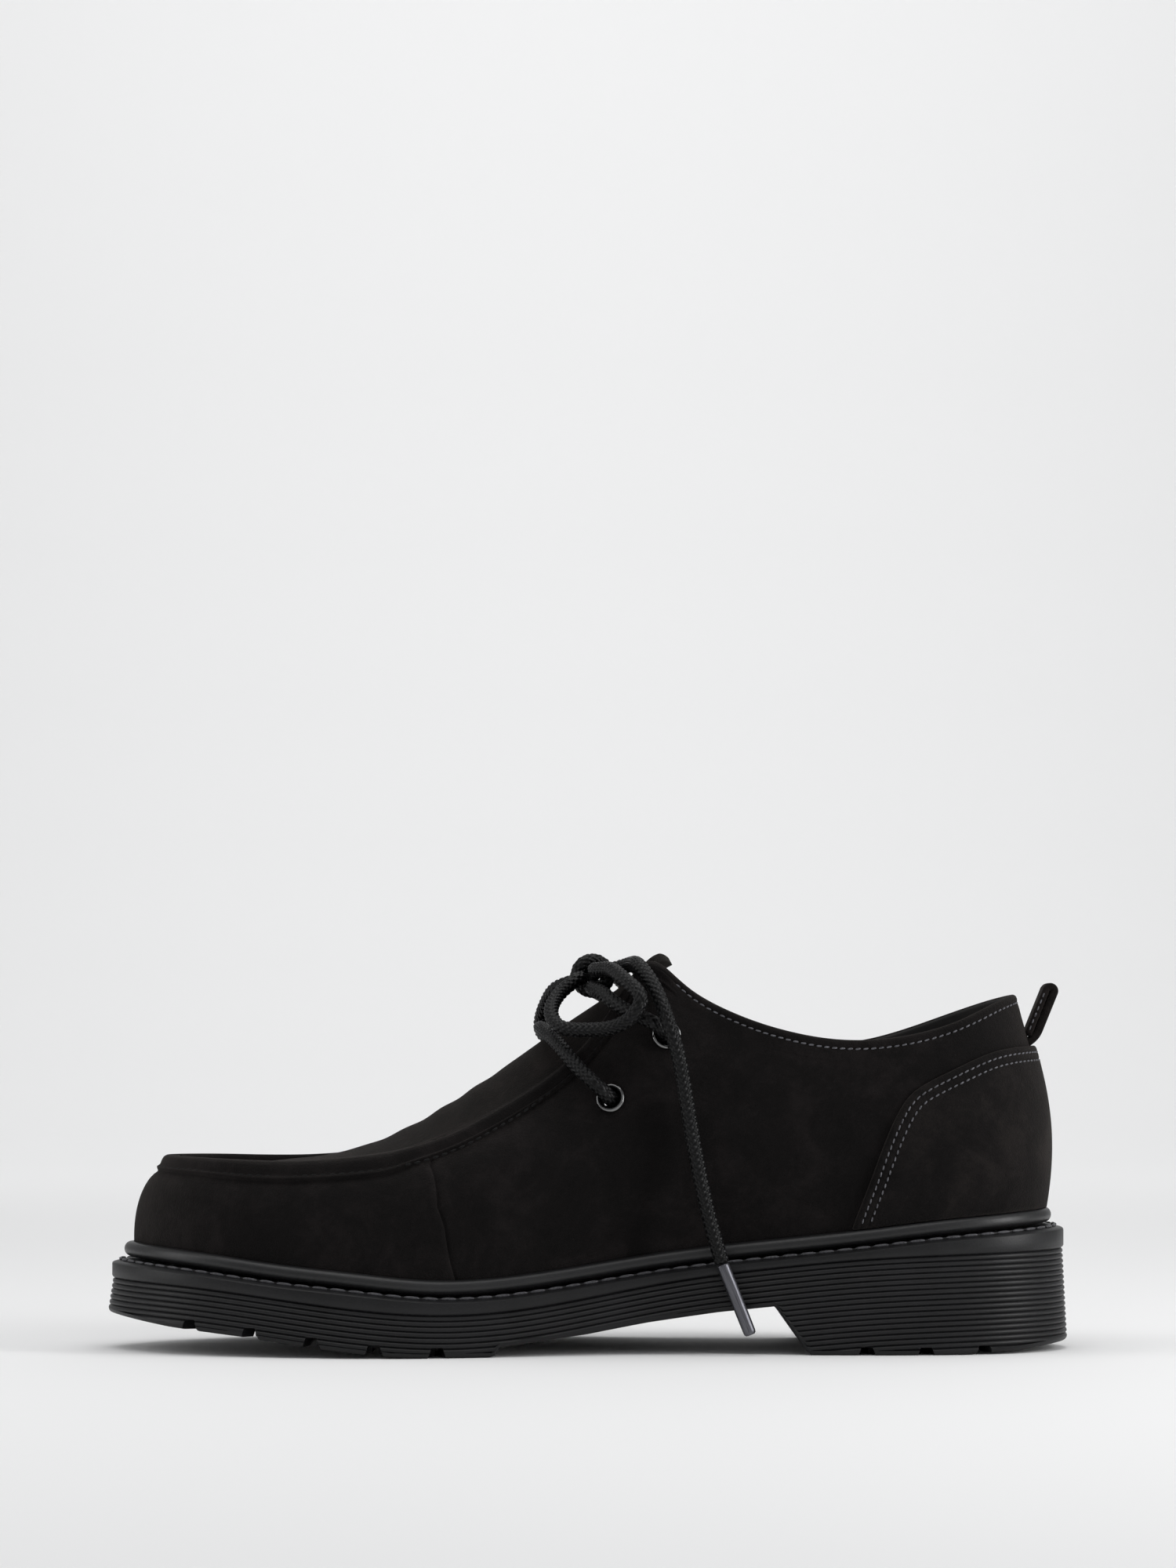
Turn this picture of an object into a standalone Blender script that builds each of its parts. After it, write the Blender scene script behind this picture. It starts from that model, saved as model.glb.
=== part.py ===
"""Moc-toe lace-up shoe, right foot, as separate named pieces.

Frame: metres, +Z up, toe towards -X, heel towards +X, inner (medial) side towards -Y.
The origin is on the floor under the middle of the sole. Every piece is built on columns: a column
starts at a point of the sole's plan outline and goes inwards by an inset and upwards by a height.
"""
import math

import bmesh
import bpy
import numpy as np
from mathutils import Vector

# Driving sizes
LENGTH = 0.300
BALL_WIDTH = 0.1085
HEEL_STACK = 0.0440
HEEL_HEIGHT = 0.1105
INSTEP_HEIGHT = 0.1200
TOE_HEIGHT = 0.0582
WALL = 0.0022
GAP = 0.0003
CLEAR = 0.0005

# Shape of the wall's curve and of the apron's arch, as shares of their reach
WALL_RISE = 0.42
WALL_LEAD = 0.36
ARCH_RISE = 0.42
ARCH_FLAT = 0.40
WALL_ROWS_SPAN = 0.90

# Sole layers, from the top of the bead down
LIP_INSET = 0.0011
LIP_DROP = 0.0071
LEDGE_DROP = 0.0054
BEAD_HEIGHT = 0.0048
BEAD_REACH = 0.0027
BEAD_CLEAR = 0.0002
BEAD_SIDES = 6
UPPER_INSET = 0.0080
FOOT_DROP = 0.0050
BAND_LIFT = 0.0009
RIB_PITCH = 0.00165
RIB_DEPTH = 0.0006
RIB_INSET = 0.0014
BASE_CHAMFER = 0.0014
NOTCH_WIDTH = 0.0046
NOTCH_SLOPE = 0.0012
NOTCH_REACH = 0.0120
NOTCH_OUT = 0.0040
NOTCH_UNDER = 0.0020
FOREFOOT_NOTCH_HEIGHT = 0.0032
HEEL_NOTCH_HEIGHT = 0.0024
FOREFOOT_NOTCH_PITCH = 0.0190
HEEL_NOTCH_PITCH = 0.0181
FOREFOOT_NOTCHES = 5
HEEL_NOTCHES = 3
FOREFOOT_NOTCH_START = 0.0453
HEEL_NOTCH_START = 0.0849

# Upper details
ROLL_WIDTH = 0.0060
ROLL_HEIGHT = 0.0028
COUNTER_THICK = 0.0012
TONGUE_THICK = 0.0024
TONGUE_TUCK = 0.0085
INSOLE_THICK = 0.0030
LOOP_WIDTH = 0.0100
LOOP_STRAP = 0.0021
LOOP_SLIT = 0.0010
LOOP_FOOT = 0.905
LOOP_REACH = 0.0128
LOOP_TAIL = 0.22
LOOP_LEAN = math.radians(22)

# Eyelets and lace
EYELET_OUTER = 0.0046
EYELET_HOLE = 0.0029
EYELET_BARREL = 0.0033
EYELET_RISE = 0.0011
EYELET_TAIL = 0.0010
EYELET_BEVEL = 0.0003
EYELET_CROWN = 0.0010
DRILL_DEPTH = 0.0110
EYELET_SIDES = 14
LACE_DIAMETER = 0.0047
CORD_SPACING = 1.6
LOOP_SPACING = 1.25
AGLET_DIAMETER = 0.0040
AGLET_LENGTH = 0.0230

# Plan outline of the sole at its base: share of the length from the heel, half widths in ball widths
SOLE_OUTLINE = (
    # station, medial, lateral
    (0.010, 0.128, 0.128),
    (0.030, 0.212, 0.212),
    (0.065, 0.292, 0.294),
    (0.125, 0.350, 0.356),
    (0.205, 0.366, 0.376),
    (0.300, 0.352, 0.383),
    (0.410, 0.336, 0.398),
    (0.500, 0.371, 0.430),
    (0.600, 0.450, 0.477),
    (0.700, 0.500, 0.500),
    (0.785, 0.481, 0.483),
    (0.860, 0.421, 0.420),
    (0.920, 0.335, 0.323),
    (0.965, 0.218, 0.198),
    (0.990, 0.110, 0.085),
)
TOE_TIP_OFFSET = -0.012

# Top of the bead, first rib groove and underside along the sole, in heel stack heights
SOLE_LINES = (
    # station, bead top, first groove
    (0.000, 1.000, 0.711),
    (0.077, 0.964, 0.698),
    (0.143, 0.927, 0.684),
    (0.223, 0.864, 0.655),
    (0.300, 0.807, 0.605),
    (0.420, 0.709, 0.492),
    (0.500, 0.620, 0.390),
    (0.580, 0.546, 0.308),
    (0.650, 0.528, 0.288),
    (0.737, 0.580, 0.330),
    (0.817, 0.634, 0.398),
    (0.900, 0.702, 0.462),
    (1.000, 0.757, 0.497),
)
SOLE_BOTTOM = (
    # station, height of the underside in heel stack heights
    (0.0000, 0.060),
    (0.0600, 0.024),
    (0.1200, 0.000),
    (0.2750, 0.000),
    (0.3100, 0.336),
    (0.3680, 0.294),
    (0.4400, 0.222),
    (0.5000, 0.146),
    (0.5890, 0.066),
    (0.5935, 0.000),
    (0.6750, 0.000),
    (0.6970, 0.009),
    (0.7370, 0.036),
    (0.7770, 0.070),
    (0.8530, 0.141),
    (0.9300, 0.192),
    (1.0000, 0.255),
)
SOLE_STATIONS = (
    0.0, 0.004, 0.016, 0.036, 0.062, 0.095, 0.130, 0.170, 0.205, 0.240, 0.275, 0.310, 0.350, 0.395,
    0.440, 0.500, 0.545, 0.589, 0.5935, 0.630, 0.675, 0.715, 0.755, 0.795, 0.835, 0.872, 0.905, 0.935,
    0.960, 0.980, 0.993, 0.9985, 1.0,
)

# Edge of the side wall: the collar, the facing and the seam round the apron.
# station is that of the column's foot; x is a share of the length from the heel, y of the ball width,
# z of the named height; lean is the wall's angle from upright at the edge, flare its outward slope
# at the foot.
UPPER_EDGE = (
    # name, station, x, y medial, y lateral, height, z medial, z lateral, lean, flare m., flare l.
    ("heel back", 0.000, 0.0550, 0.000, 0.000, "heel", 1.000, 1.000, 17, 0.17, 0.17),
    ("heel turn", 0.030, 0.0760, 0.146, 0.150, "heel", 0.978, 0.984, 12, 0.17, 0.17),
    ("heel side", 0.105, 0.1290, 0.246, 0.250, "heel", 0.914, 0.934, 9, 0.13, 0.13),
    ("collar low", 0.205, 0.2130, 0.286, 0.290, "heel", 0.870, 0.868, 6, 0.12, 0.10),
    ("collar rise", 0.300, 0.2930, 0.284, 0.288, "heel", 0.893, 0.878, 8, 0.18, 0.10),
    ("collar neck", 0.360, 0.3500, 0.262, 0.266, "instep", 0.870, 0.852, 14, 0.24, 0.10),
    ("collar front", 0.405, 0.3935, 0.231, 0.235, "instep", 0.930, 0.918, 20, 0.27, 0.10),
    ("corner back", 0.435, 0.4160, 0.211, 0.214, "instep", 0.978, 0.976, 24, 0.27, 0.10),
    ("corner", 0.455, 0.4340, 0.198, 0.201, "instep", 1.000, 1.000, 26, 0.26, 0.10),
    ("corner front", 0.475, 0.4500, 0.193, 0.196, "instep", 0.970, 0.970, 28, 0.24, 0.10),
    ("facing upper", 0.500, 0.4690, 0.193, 0.196, "instep", 0.896, 0.896, 30, 0.22, 0.10),
    ("facing lower", 0.535, 0.4980, 0.198, 0.203, "instep", 0.796, 0.796, 35, 0.18, 0.10),
    ("throat", 0.570, 0.5300, 0.216, 0.222, "instep", 0.718, 0.718, 42, 0.14, 0.08),
    ("instep seam", 0.620, 0.5830, 0.258, 0.266, "instep", 0.626, 0.626, 52, 0.10, 0.06),
    ("fore seam", 0.680, 0.6500, 0.300, 0.310, "instep", 0.538, 0.540, 62, 0.05, 0.05),
    ("ball seam", 0.750, 0.7270, 0.316, 0.326, "toe", 1.019, 1.024, 68, 0.03, 0.03),
    ("wide seam", 0.830, 0.8030, 0.293, 0.300, "toe", 0.987, 0.992, 72, 0.02, 0.02),
    ("toe corner", 0.900, 0.8640, 0.236, 0.238, "toe", 0.992, 0.995, 75, 0.02, 0.02),
    ("toe turn", 0.955, 0.9055, 0.143, 0.138, "toe", 0.997, 0.999, 78, 0.02, 0.02),
    ("toe", 1.000, 0.9280, 0.010, 0.010, "toe", 1.000, 1.000, 80, 0.02, 0.02),
)
HEIGHTS = {"heel": HEEL_HEIGHT, "instep": INSTEP_HEIGHT, "toe": TOE_HEIGHT}

# Ridge of the apron and the tongue, at the stations of the edge table
RIDGE = (
    # station, x share of the length, z share of the instep height
    (0.455, 0.4155, 1.0140),
    (0.475, 0.4400, 0.9800),
    (0.500, 0.4750, 0.9225),
    (0.535, 0.5267, 0.8367),
    (0.570, 0.5683, 0.7633),
    (0.620, 0.6200, 0.6758),
    (0.680, 0.6767, 0.5883),
    (0.750, 0.7417, 0.5190),
    (0.830, 0.8100, 0.4900),
    (0.900, 0.8660, 0.4830),
    (0.955, 0.9085, 0.4840),
    (1.000, 0.9280, 0.4850),
)
THROAT = 0.556
THROAT_SPLIT = 0.0014
CORNER = 0.455
ROLL_FADE = 0.030
TONGUE_CLEAR = 0.0009

REAR_COLUMNS = 17
FRONT_COLUMNS = 14
WALL_ROWS = (0.0, 0.14, 0.32, 0.52, 0.74)
ROLL_ROWS = ((1.0, 0.0), (0.82, 0.62), (0.50, 1.0), (0.18, 0.62), (0.0, 0.0))
APRON_STEPS = 5
TONGUE_SECTIONS = 9
COUNTER_ROWS = 5

# Top edge of the heel counter: station of the column and height in heel heights
COUNTER_EDGE = (
    (0.000, 0.852),
    (0.050, 0.836),
    (0.103, 0.790),
    (0.141, 0.748),
    (0.167, 0.699),
    (0.184, 0.634),
    (0.200, 0.551),
    (0.213, 0.470),
    (0.228, 0.372),
)

# Eyelets: station and share of the wall's height where each is set
EYELETS = (
    ("lower", 0.5010, 0.600),
    ("upper", 0.4380, 0.750),
)

# Lace: routes of its centre line, chosen by hand, as x, y and the share of the instep height.
# The bars' far halves repeat the near ones with y turned round.
KNOT_CENTRE = (0.0015, 0.0, 0.9683)
KNOT_RADIUS = 0.0072
LOWER_BAR = (
    (-0.0021, -0.0330, 0.7217),
    (-0.0066, -0.0278, 0.7650),
    (-0.0108, -0.0180, 0.8042),
    (-0.0138, -0.0080, 0.8250),
    (-0.0147, 0.0000, 0.8317),
)
UPPER_BAR = (
    (0.0104, -0.0305, 0.8817),
    (0.0054, -0.0240, 0.9150),
    (0.0018, -0.0140, 0.9317),
    (0.0015, -0.0070, 0.9375),
)
BOW_LOOP = (
    (-0.0054, -0.0036, 0.9517),
    (-0.0086, -0.0062, 0.9417),
    (-0.0108, -0.0130, 0.9150),
    (-0.0114, -0.0205, 0.8767),
    (-0.0088, -0.0275, 0.8350),
    (-0.0004, -0.0325, 0.8250),
    (0.0082, -0.0365, 0.8333),
    (0.0138, -0.0392, 0.8625),
    (0.0161, -0.0392, 0.9017),
    (0.0132, -0.0350, 0.9400),
    (0.0092, -0.0280, 0.9700),
    (0.0056, -0.0185, 0.9833),
    (0.0026, -0.0120, 0.9817),
    (0.0021, -0.0079, 0.9800),
)
FAR_LOOP = (
    (-0.0054, 0.0036, 0.9517),
    (-0.0092, 0.0062, 0.9400),
    (-0.0128, 0.0130, 0.9042),
    (-0.0148, 0.0195, 0.8583),
    (-0.0140, 0.0265, 0.8150),
    (-0.0070, 0.0330, 0.8042),
    (0.0010, 0.0365, 0.8208),
    (0.0086, 0.0388, 0.8400),
    (0.0138, 0.0398, 0.8667),
    (0.0161, 0.0392, 0.9017),
    (0.0132, 0.0350, 0.9400),
    (0.0092, 0.0280, 0.9700),
    (0.0056, 0.0185, 0.9833),
    (0.0026, 0.0120, 0.9817),
    (0.0021, 0.0079, 0.9800),
)
BOW_END = (
    (0.0094, -0.0034, 0.9883),
    (0.0122, -0.0068, 0.9950),
    (0.0143, -0.0155, 0.9983),
    (0.0160, -0.0258, 0.9883),
    (0.0198, -0.0338, 0.9417),
    (0.0228, -0.0382, 0.8833),
    (0.0254, -0.0400, 0.8208),
    (0.0277, -0.0400, 0.7525),
    (0.0295, -0.0394, 0.6692),
    (0.0316, -0.0390, 0.5650),
    (0.0345, -0.0392, 0.4358),
    (0.0379, -0.0397, 0.3167),
    (0.0409, -0.0402, 0.2317),
)
FAR_END = (
    (0.0094, 0.0034, 0.9883),
    (0.0122, 0.0068, 0.9950),
    (0.0143, 0.0155, 0.9983),
    (0.0162, 0.0262, 0.9883),
    (0.0202, 0.0343, 0.9417),
    (0.0238, 0.0388, 0.8833),
    (0.0275, 0.0405, 0.8208),
    (0.0310, 0.0405, 0.7417),
    (0.0350, 0.0412, 0.6500),
    (0.0410, 0.0425, 0.5333),
    (0.0490, 0.0440, 0.4250),
    (0.0590, 0.0452, 0.3333),
)
AGLET_LINES = {"medial": (0.0085, -0.0006, -0.0213), "lateral": (0.0135, 0.0006, -0.0186)}

# Colours, roughness and metal of the pieces
FINISHES = {
    "nubuck": ((0.0060, 0.0050, 0.0052), 0.95, 0.0),
    "nubuck_edge": ((0.0050, 0.0045, 0.0046), 0.92, 0.0),
    "rubber": ((0.0180, 0.0180, 0.0190), 0.62, 0.0),
    "footbed": ((0.0200, 0.0180, 0.0170), 0.85, 0.0),
    "webbing": ((0.0100, 0.0090, 0.0090), 0.80, 0.0),
    "black_metal": ((0.0100, 0.0100, 0.0105), 0.22, 0.9),
    "cord": ((0.0120, 0.0120, 0.0125), 0.55, 0.0),
    "steel": ((0.3500, 0.3500, 0.3600), 0.35, 1.0),
}


def clear_scene():
    for item in list(bpy.data.objects):
        bpy.data.objects.remove(item, do_unlink=True)


def make_collection(name):
    collection = bpy.data.collections.new(name)
    bpy.context.scene.collection.children.link(collection)
    return collection


def finish_material(name):
    found = bpy.data.materials.get(name)
    if found:
        return found
    colour, roughness, metallic = FINISHES[name]
    material = bpy.data.materials.new(name)
    material.use_nodes = True
    shader = material.node_tree.nodes["Principled BSDF"]
    shader.inputs["Base Color"].default_value = (*colour, 1.0)
    shader.inputs["Roughness"].default_value = roughness
    shader.inputs["Metallic"].default_value = metallic
    return material


def smooth_spline(knots, values, period=None):
    """Cubic through the values; closed where a period is given, else with free ends."""
    knots = np.asarray(knots, float)
    values = np.asarray(values, float)
    if values.ndim == 1:
        values = values[:, None]
    if period:
        knots = np.append(knots, knots[0] + period)
        values = np.vstack([values, values[:1]])
    count = len(knots)
    step = np.diff(knots)
    slope = np.diff(values, axis=0) / step[:, None]
    matrix = np.zeros((count, count))
    right = np.zeros((count, values.shape[1]))
    for i in range(1, count - 1):
        matrix[i, i - 1] = step[i]
        matrix[i, i] = 2 * (step[i - 1] + step[i])
        matrix[i, i + 1] = step[i - 1]
        right[i] = 3 * (step[i] * slope[i - 1] + step[i - 1] * slope[i])
    if period:
        matrix[0, 0] = 1
        matrix[0, -1] = -1
        matrix[-1, 0] = 2 * step[-1]
        matrix[-1, 1] = step[-1]
        matrix[-1, -1] = 2 * step[0]
        matrix[-1, -2] = step[0]
        right[-1] = 3 * (step[-1] * slope[0] + step[0] * slope[-1])
    else:
        matrix[0, :2] = (2, 1)
        right[0] = 3 * slope[0]
        matrix[-1, -2:] = (1, 2)
        right[-1] = 3 * slope[-1]
    tangent = np.linalg.solve(matrix, right)

    def read(at):
        at = np.atleast_1d(np.asarray(at, float))
        if period:
            at = knots[0] + np.mod(at - knots[0], period)
        i = np.clip(np.searchsorted(knots, at, side="right") - 1, 0, count - 2)
        h = step[i][:, None]
        u = (at - knots[i])[:, None] / h
        low = (1 + 2 * u) * (1 - u) ** 2 * values[i] + u * (1 - u) ** 2 * h * tangent[i]
        high = u * u * (3 - 2 * u) * values[i + 1] + u * u * (u - 1) * h * tangent[i + 1]
        return low + high

    return read


def from_heel(share):
    """World x of a share of the length measured from the heel."""
    return LENGTH / 2 - share * LENGTH


def plan_outline():
    """Closed base outline: points and inward normals, for each side against the station."""
    medial = [(from_heel(s), -m * BALL_WIDTH) for s, m, l in SOLE_OUTLINE]
    lateral = [(from_heel(s), l * BALL_WIDTH) for s, m, l in reversed(SOLE_OUTLINE)]
    toe = (from_heel(1.0), TOE_TIP_OFFSET * BALL_WIDTH)
    points = np.array([(from_heel(0.0), 0.0)] + medial + [toe] + lateral)
    chord = np.linalg.norm(np.roll(points, -1, axis=0) - points, axis=1)
    knots = np.concatenate([[0.0], np.cumsum(chord)[:-1]])
    curve = smooth_spline(knots, points, period=chord.sum())
    dense = np.linspace(0, chord.sum(), 4001)[:-1]
    around = curve(dense)
    around = np.roll(around, -int(np.argmax(around[:, 0])), axis=0)
    tangent = np.roll(around, -1, axis=0) - np.roll(around, 1, axis=0)
    tangent /= np.linalg.norm(tangent, axis=1)[:, None]
    inward = np.stack([-tangent[:, 1], tangent[:, 0]], axis=1)
    inward *= np.sign(np.sum(inward * -around, axis=1).mean())
    toe_at = int(np.argmin(around[:, 0]))
    around = np.vstack([around, around[:1]])
    inward = np.vstack([inward, inward[:1]])
    sides = {}
    for side, part in (("medial", slice(0, toe_at + 1)), ("lateral", slice(toe_at, None))):
        place = around[part]
        normal = inward[part]
        if side == "lateral":
            place = place[::-1]
            normal = normal[::-1]
        arc = np.concatenate([[0], np.cumsum(np.linalg.norm(np.diff(place, axis=0), axis=1))])
        span = place[0, 0] - place[-1, 0]
        station = (place[0, 0] - place[:, 0]) / span
        station = np.maximum.accumulate(station)
        sides[side] = {"place": place, "normal": normal, "arc": arc / arc[-1], "station": station}
    return sides


OUTLINE = plan_outline()
BEAD_TOP = smooth_spline([r[0] for r in SOLE_LINES], [r[1] * HEEL_STACK for r in SOLE_LINES])
FIRST_GROOVE = smooth_spline([r[0] for r in SOLE_LINES], [r[2] * HEEL_STACK for r in SOLE_LINES])


def arc_of(side, station):
    return float(np.interp(station, OUTLINE[side]["station"], OUTLINE[side]["arc"]))


def plan_at(side, arc):
    """Outline point, inward normal and station at an arc share of one side."""
    data = OUTLINE[side]
    point = np.array([np.interp(arc, data["arc"], data["place"][:, k]) for k in (0, 1)])
    normal = np.array([np.interp(arc, data["arc"], data["normal"][:, k]) for k in (0, 1)])
    normal /= np.linalg.norm(normal)
    return point, normal, float(np.interp(arc, data["arc"], data["station"]))


def station_at(x):
    return (LENGTH / 2 - x) / LENGTH


def bead_top(station):
    return float(BEAD_TOP(station)[0, 0])


def underside(station):
    return HEEL_STACK * float(np.interp(station, *zip(*SOLE_BOTTOM)))


def edge_splines():
    """Edge of the side wall against the arc share, round the whole loop, medial then lateral."""
    knots = []
    values = []
    for side in ("medial", "lateral"):
        rows = UPPER_EDGE if side == "medial" else UPPER_EDGE[-2:0:-1]
        for name, station, x, ym, yl, height, zm, zl, lean, fm, fl in rows:
            arc = arc_of(side, station)
            medial = side == "medial"
            y = -ym if medial else yl
            if name == "toe":
                y = -ym
            z = (zm if medial else zl) * HEIGHTS[height]
            flare = fm if medial else fl
            knots.append(arc if medial else 2 - arc)
            values.append((from_heel(x), y * BALL_WIDTH, z, math.radians(lean), flare))
    return smooth_spline(knots, values, period=2.0)


EDGE = edge_splines()
RIDGE_LINE = smooth_spline(
    [r[0] for r in RIDGE],
    [(from_heel(r[1]), r[2] * INSTEP_HEIGHT) for r in RIDGE],
)


def wall_frame(side, arc):
    """Foot point, handles and edge of one column of the side wall."""
    point, inward, station = plan_at(side, arc)
    x, y, z, lean, flare = EDGE(arc if side == "medial" else 2 - arc)[0]
    top = bead_top(station)
    foot = np.array([*(point + inward * UPPER_INSET), top + GAP])
    edge = np.array([x, y, z])
    reach = np.linalg.norm(edge - foot)
    inward3 = np.array([*inward, 0.0])
    up = np.array([0.0, 0.0, 1.0])
    rise = (up - flare * inward3) * reach * WALL_RISE
    lead = (up * math.cos(lean) + inward3 * math.sin(lean)) * reach * WALL_LEAD
    return foot, foot + rise, edge - lead, edge


def wall_point(side, arc, t):
    """Outer face of the side wall, t from 0 at the bead to 1 at the edge."""
    a, b, c, d = wall_frame(side, arc)
    s = 1 - t
    return s ** 3 * a + 3 * s * s * t * b + 3 * s * t * t * c + t ** 3 * d


def wall_normal(side, arc, t):
    """Outward unit normal of the side wall."""
    da = 0.002
    dt = 0.01
    low = max(0.0, arc - da)
    high = min(1.0, arc + da)
    along = wall_point(side, high, t) - wall_point(side, low, t)
    if arc <= da or arc >= 1 - da:
        along = np.array([0.0, 1.0 if arc > 0.5 else -1.0, 0.0])
        if side == "lateral":
            along = -along
    up = wall_point(side, arc, min(1.0, t + dt)) - wall_point(side, arc, max(0.0, t - dt))
    normal = np.cross(along, up)
    normal /= np.linalg.norm(normal)
    return -normal if side == "medial" else normal


def share_below_edge(side, arc, distance):
    """t of the point that lies a distance down the wall from its edge."""
    ts = np.linspace(1.0, 0.3, 71)
    points = np.array([wall_point(side, arc, t) for t in ts])
    run = np.concatenate([[0], np.cumsum(np.linalg.norm(np.diff(points, axis=0), axis=1))])
    return float(np.interp(distance, run, ts))


def share_at_height(side, arc, z):
    ts = np.linspace(0.0, 1.0, 61)
    heights = [wall_point(side, arc, t)[2] for t in ts]
    return float(np.interp(z, heights, ts))


def roll_share(side, arc):
    """1 along the facing and the seam, 0 along the collar."""
    station = plan_at(side, arc)[2]
    return float(np.clip((station - (CORNER - ROLL_FADE)) / ROLL_FADE, 0.0, 1.0))


def wall_column(side, arc):
    """Outer points of one column, from its foot behind the bead to its edge."""
    foot = wall_point(side, arc, 0.0)
    low = foot - np.array([0.0, 0.0, GAP + FOOT_DROP])
    column = [low]
    start = share_below_edge(side, arc, ROLL_WIDTH)
    column += [wall_point(side, arc, t * start / WALL_ROWS_SPAN) for t in WALL_ROWS]
    raise_by = ROLL_HEIGHT * roll_share(side, arc)
    for back, lift in ROLL_ROWS:
        t = share_below_edge(side, arc, ROLL_WIDTH * back)
        column.append(wall_point(side, arc, t) + wall_normal(side, arc, t) * raise_by * lift)
    return column


def ridge_point(station):
    x, z = RIDGE_LINE(station)[0]
    return np.array([x, 0.0, z])


def arch_half(edge, tangent, ridge, steps):
    """Points from the edge up to the ridge, without the edge, level at the ridge."""
    side = 1.0 if edge[1] > ridge[1] else -1.0
    reach = abs(edge[1] - ridge[1])
    first = edge + tangent * reach * ARCH_RISE
    second = ridge + np.array([0.0, side * reach * ARCH_FLAT, 0.0])
    points = []
    for i in range(1, steps + 1):
        t = i / steps
        s = 1 - t
        points.append(s ** 3 * edge + 3 * s * s * t * first + 3 * s * t * t * second + t ** 3 * ridge)
    return points


def apron_tangent(edge, ridge):
    """Direction in which the apron leaves the seam, steeper where the ridge stands high."""
    reach = abs(edge[1] - ridge[1])
    rise = ridge[2] - edge[2]
    angle = min(1.5 * math.atan2(rise, reach), math.radians(55))
    inward = -math.copysign(1.0, edge[1] - ridge[1])
    lead = (ridge[0] - edge[0]) / max(reach, 0.001)
    direction = np.array([lead * math.cos(angle), inward * math.cos(angle), math.sin(angle)])
    return direction / np.linalg.norm(direction)


def apron_section(station):
    """Inner points of one apron section from the medial seam to the lateral one."""
    ridge = ridge_point(station)
    halves = {}
    for side in ("medial", "lateral"):
        edge = wall_point(side, arc_of(side, station), 1.0)
        halves[side] = arch_half(edge, apron_tangent(edge, ridge), ridge, APRON_STEPS)
    return halves["medial"] + halves["lateral"][-2::-1]


def upper_stations():
    """Stations of the upper's columns, even along the outline, with one on the throat."""
    data = OUTLINE["medial"]
    throat = arc_of("medial", THROAT)
    arcs = list(np.linspace(0, throat, REAR_COLUMNS)) + list(np.linspace(throat, 1, FRONT_COLUMNS + 1))[1:]
    return [float(np.interp(a, data["arc"], data["station"])) for a in arcs]


def add_object(name, collection, finish, bm=None, vertices=None, faces=None):
    mesh = bpy.data.meshes.new(name)
    if bm is None:
        mesh.from_pydata([tuple(map(float, v)) for v in vertices], [], faces)
        mesh.validate()
    else:
        bm.to_mesh(mesh)
        bm.free()
    thing = bpy.data.objects.new(name, mesh)
    collection.objects.link(thing)
    mesh.materials.append(finish_material(finish))
    return thing


def tidy_surface(thing, probe=None, distance=0.00002):
    """Welds what coincides, drops closed up faces and turns an open surface away from the probe."""
    bm = bmesh.new()
    bm.from_mesh(thing.data)
    bmesh.ops.remove_doubles(bm, verts=bm.verts, dist=distance)
    bmesh.ops.dissolve_degenerate(bm, edges=bm.edges, dist=distance / 2)
    loose = [v for v in bm.verts if not v.link_faces]
    bmesh.ops.delete(bm, geom=loose, context="VERTS")
    if probe:
        bmesh.ops.recalc_face_normals(bm, faces=bm.faces)
        inside = Vector(probe)
        outward = sum(f.normal.dot(f.calc_center_median() - inside) * f.calc_area() for f in bm.faces)
        if outward < 0:
            bmesh.ops.reverse_faces(bm, faces=bm.faces)
    bm.to_mesh(thing.data)
    bm.free()


def face_outwards(thing):
    bm = bmesh.new()
    bm.from_mesh(thing.data)
    bmesh.ops.recalc_face_normals(bm, faces=bm.faces)
    if bm.calc_volume(signed=True) < 0:
        bmesh.ops.reverse_faces(bm, faces=bm.faces)
    bm.to_mesh(thing.data)
    bm.free()


def thicken(thing, thickness, inward=True):
    solid = thing.modifiers.new("Thickness", "SOLIDIFY")
    solid.thickness = thickness
    solid.offset = -1.0 if inward else 1.0
    solid.use_even_offset = True
    solid.thickness_clamp = 1.0
    return solid


def strip_faces(first, second):
    """Quads between two lists of vertex numbers of the same length."""
    return [
        (first[i], first[i + 1], second[i + 1], second[i])
        for i in range(len(first) - 1)
    ]


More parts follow.
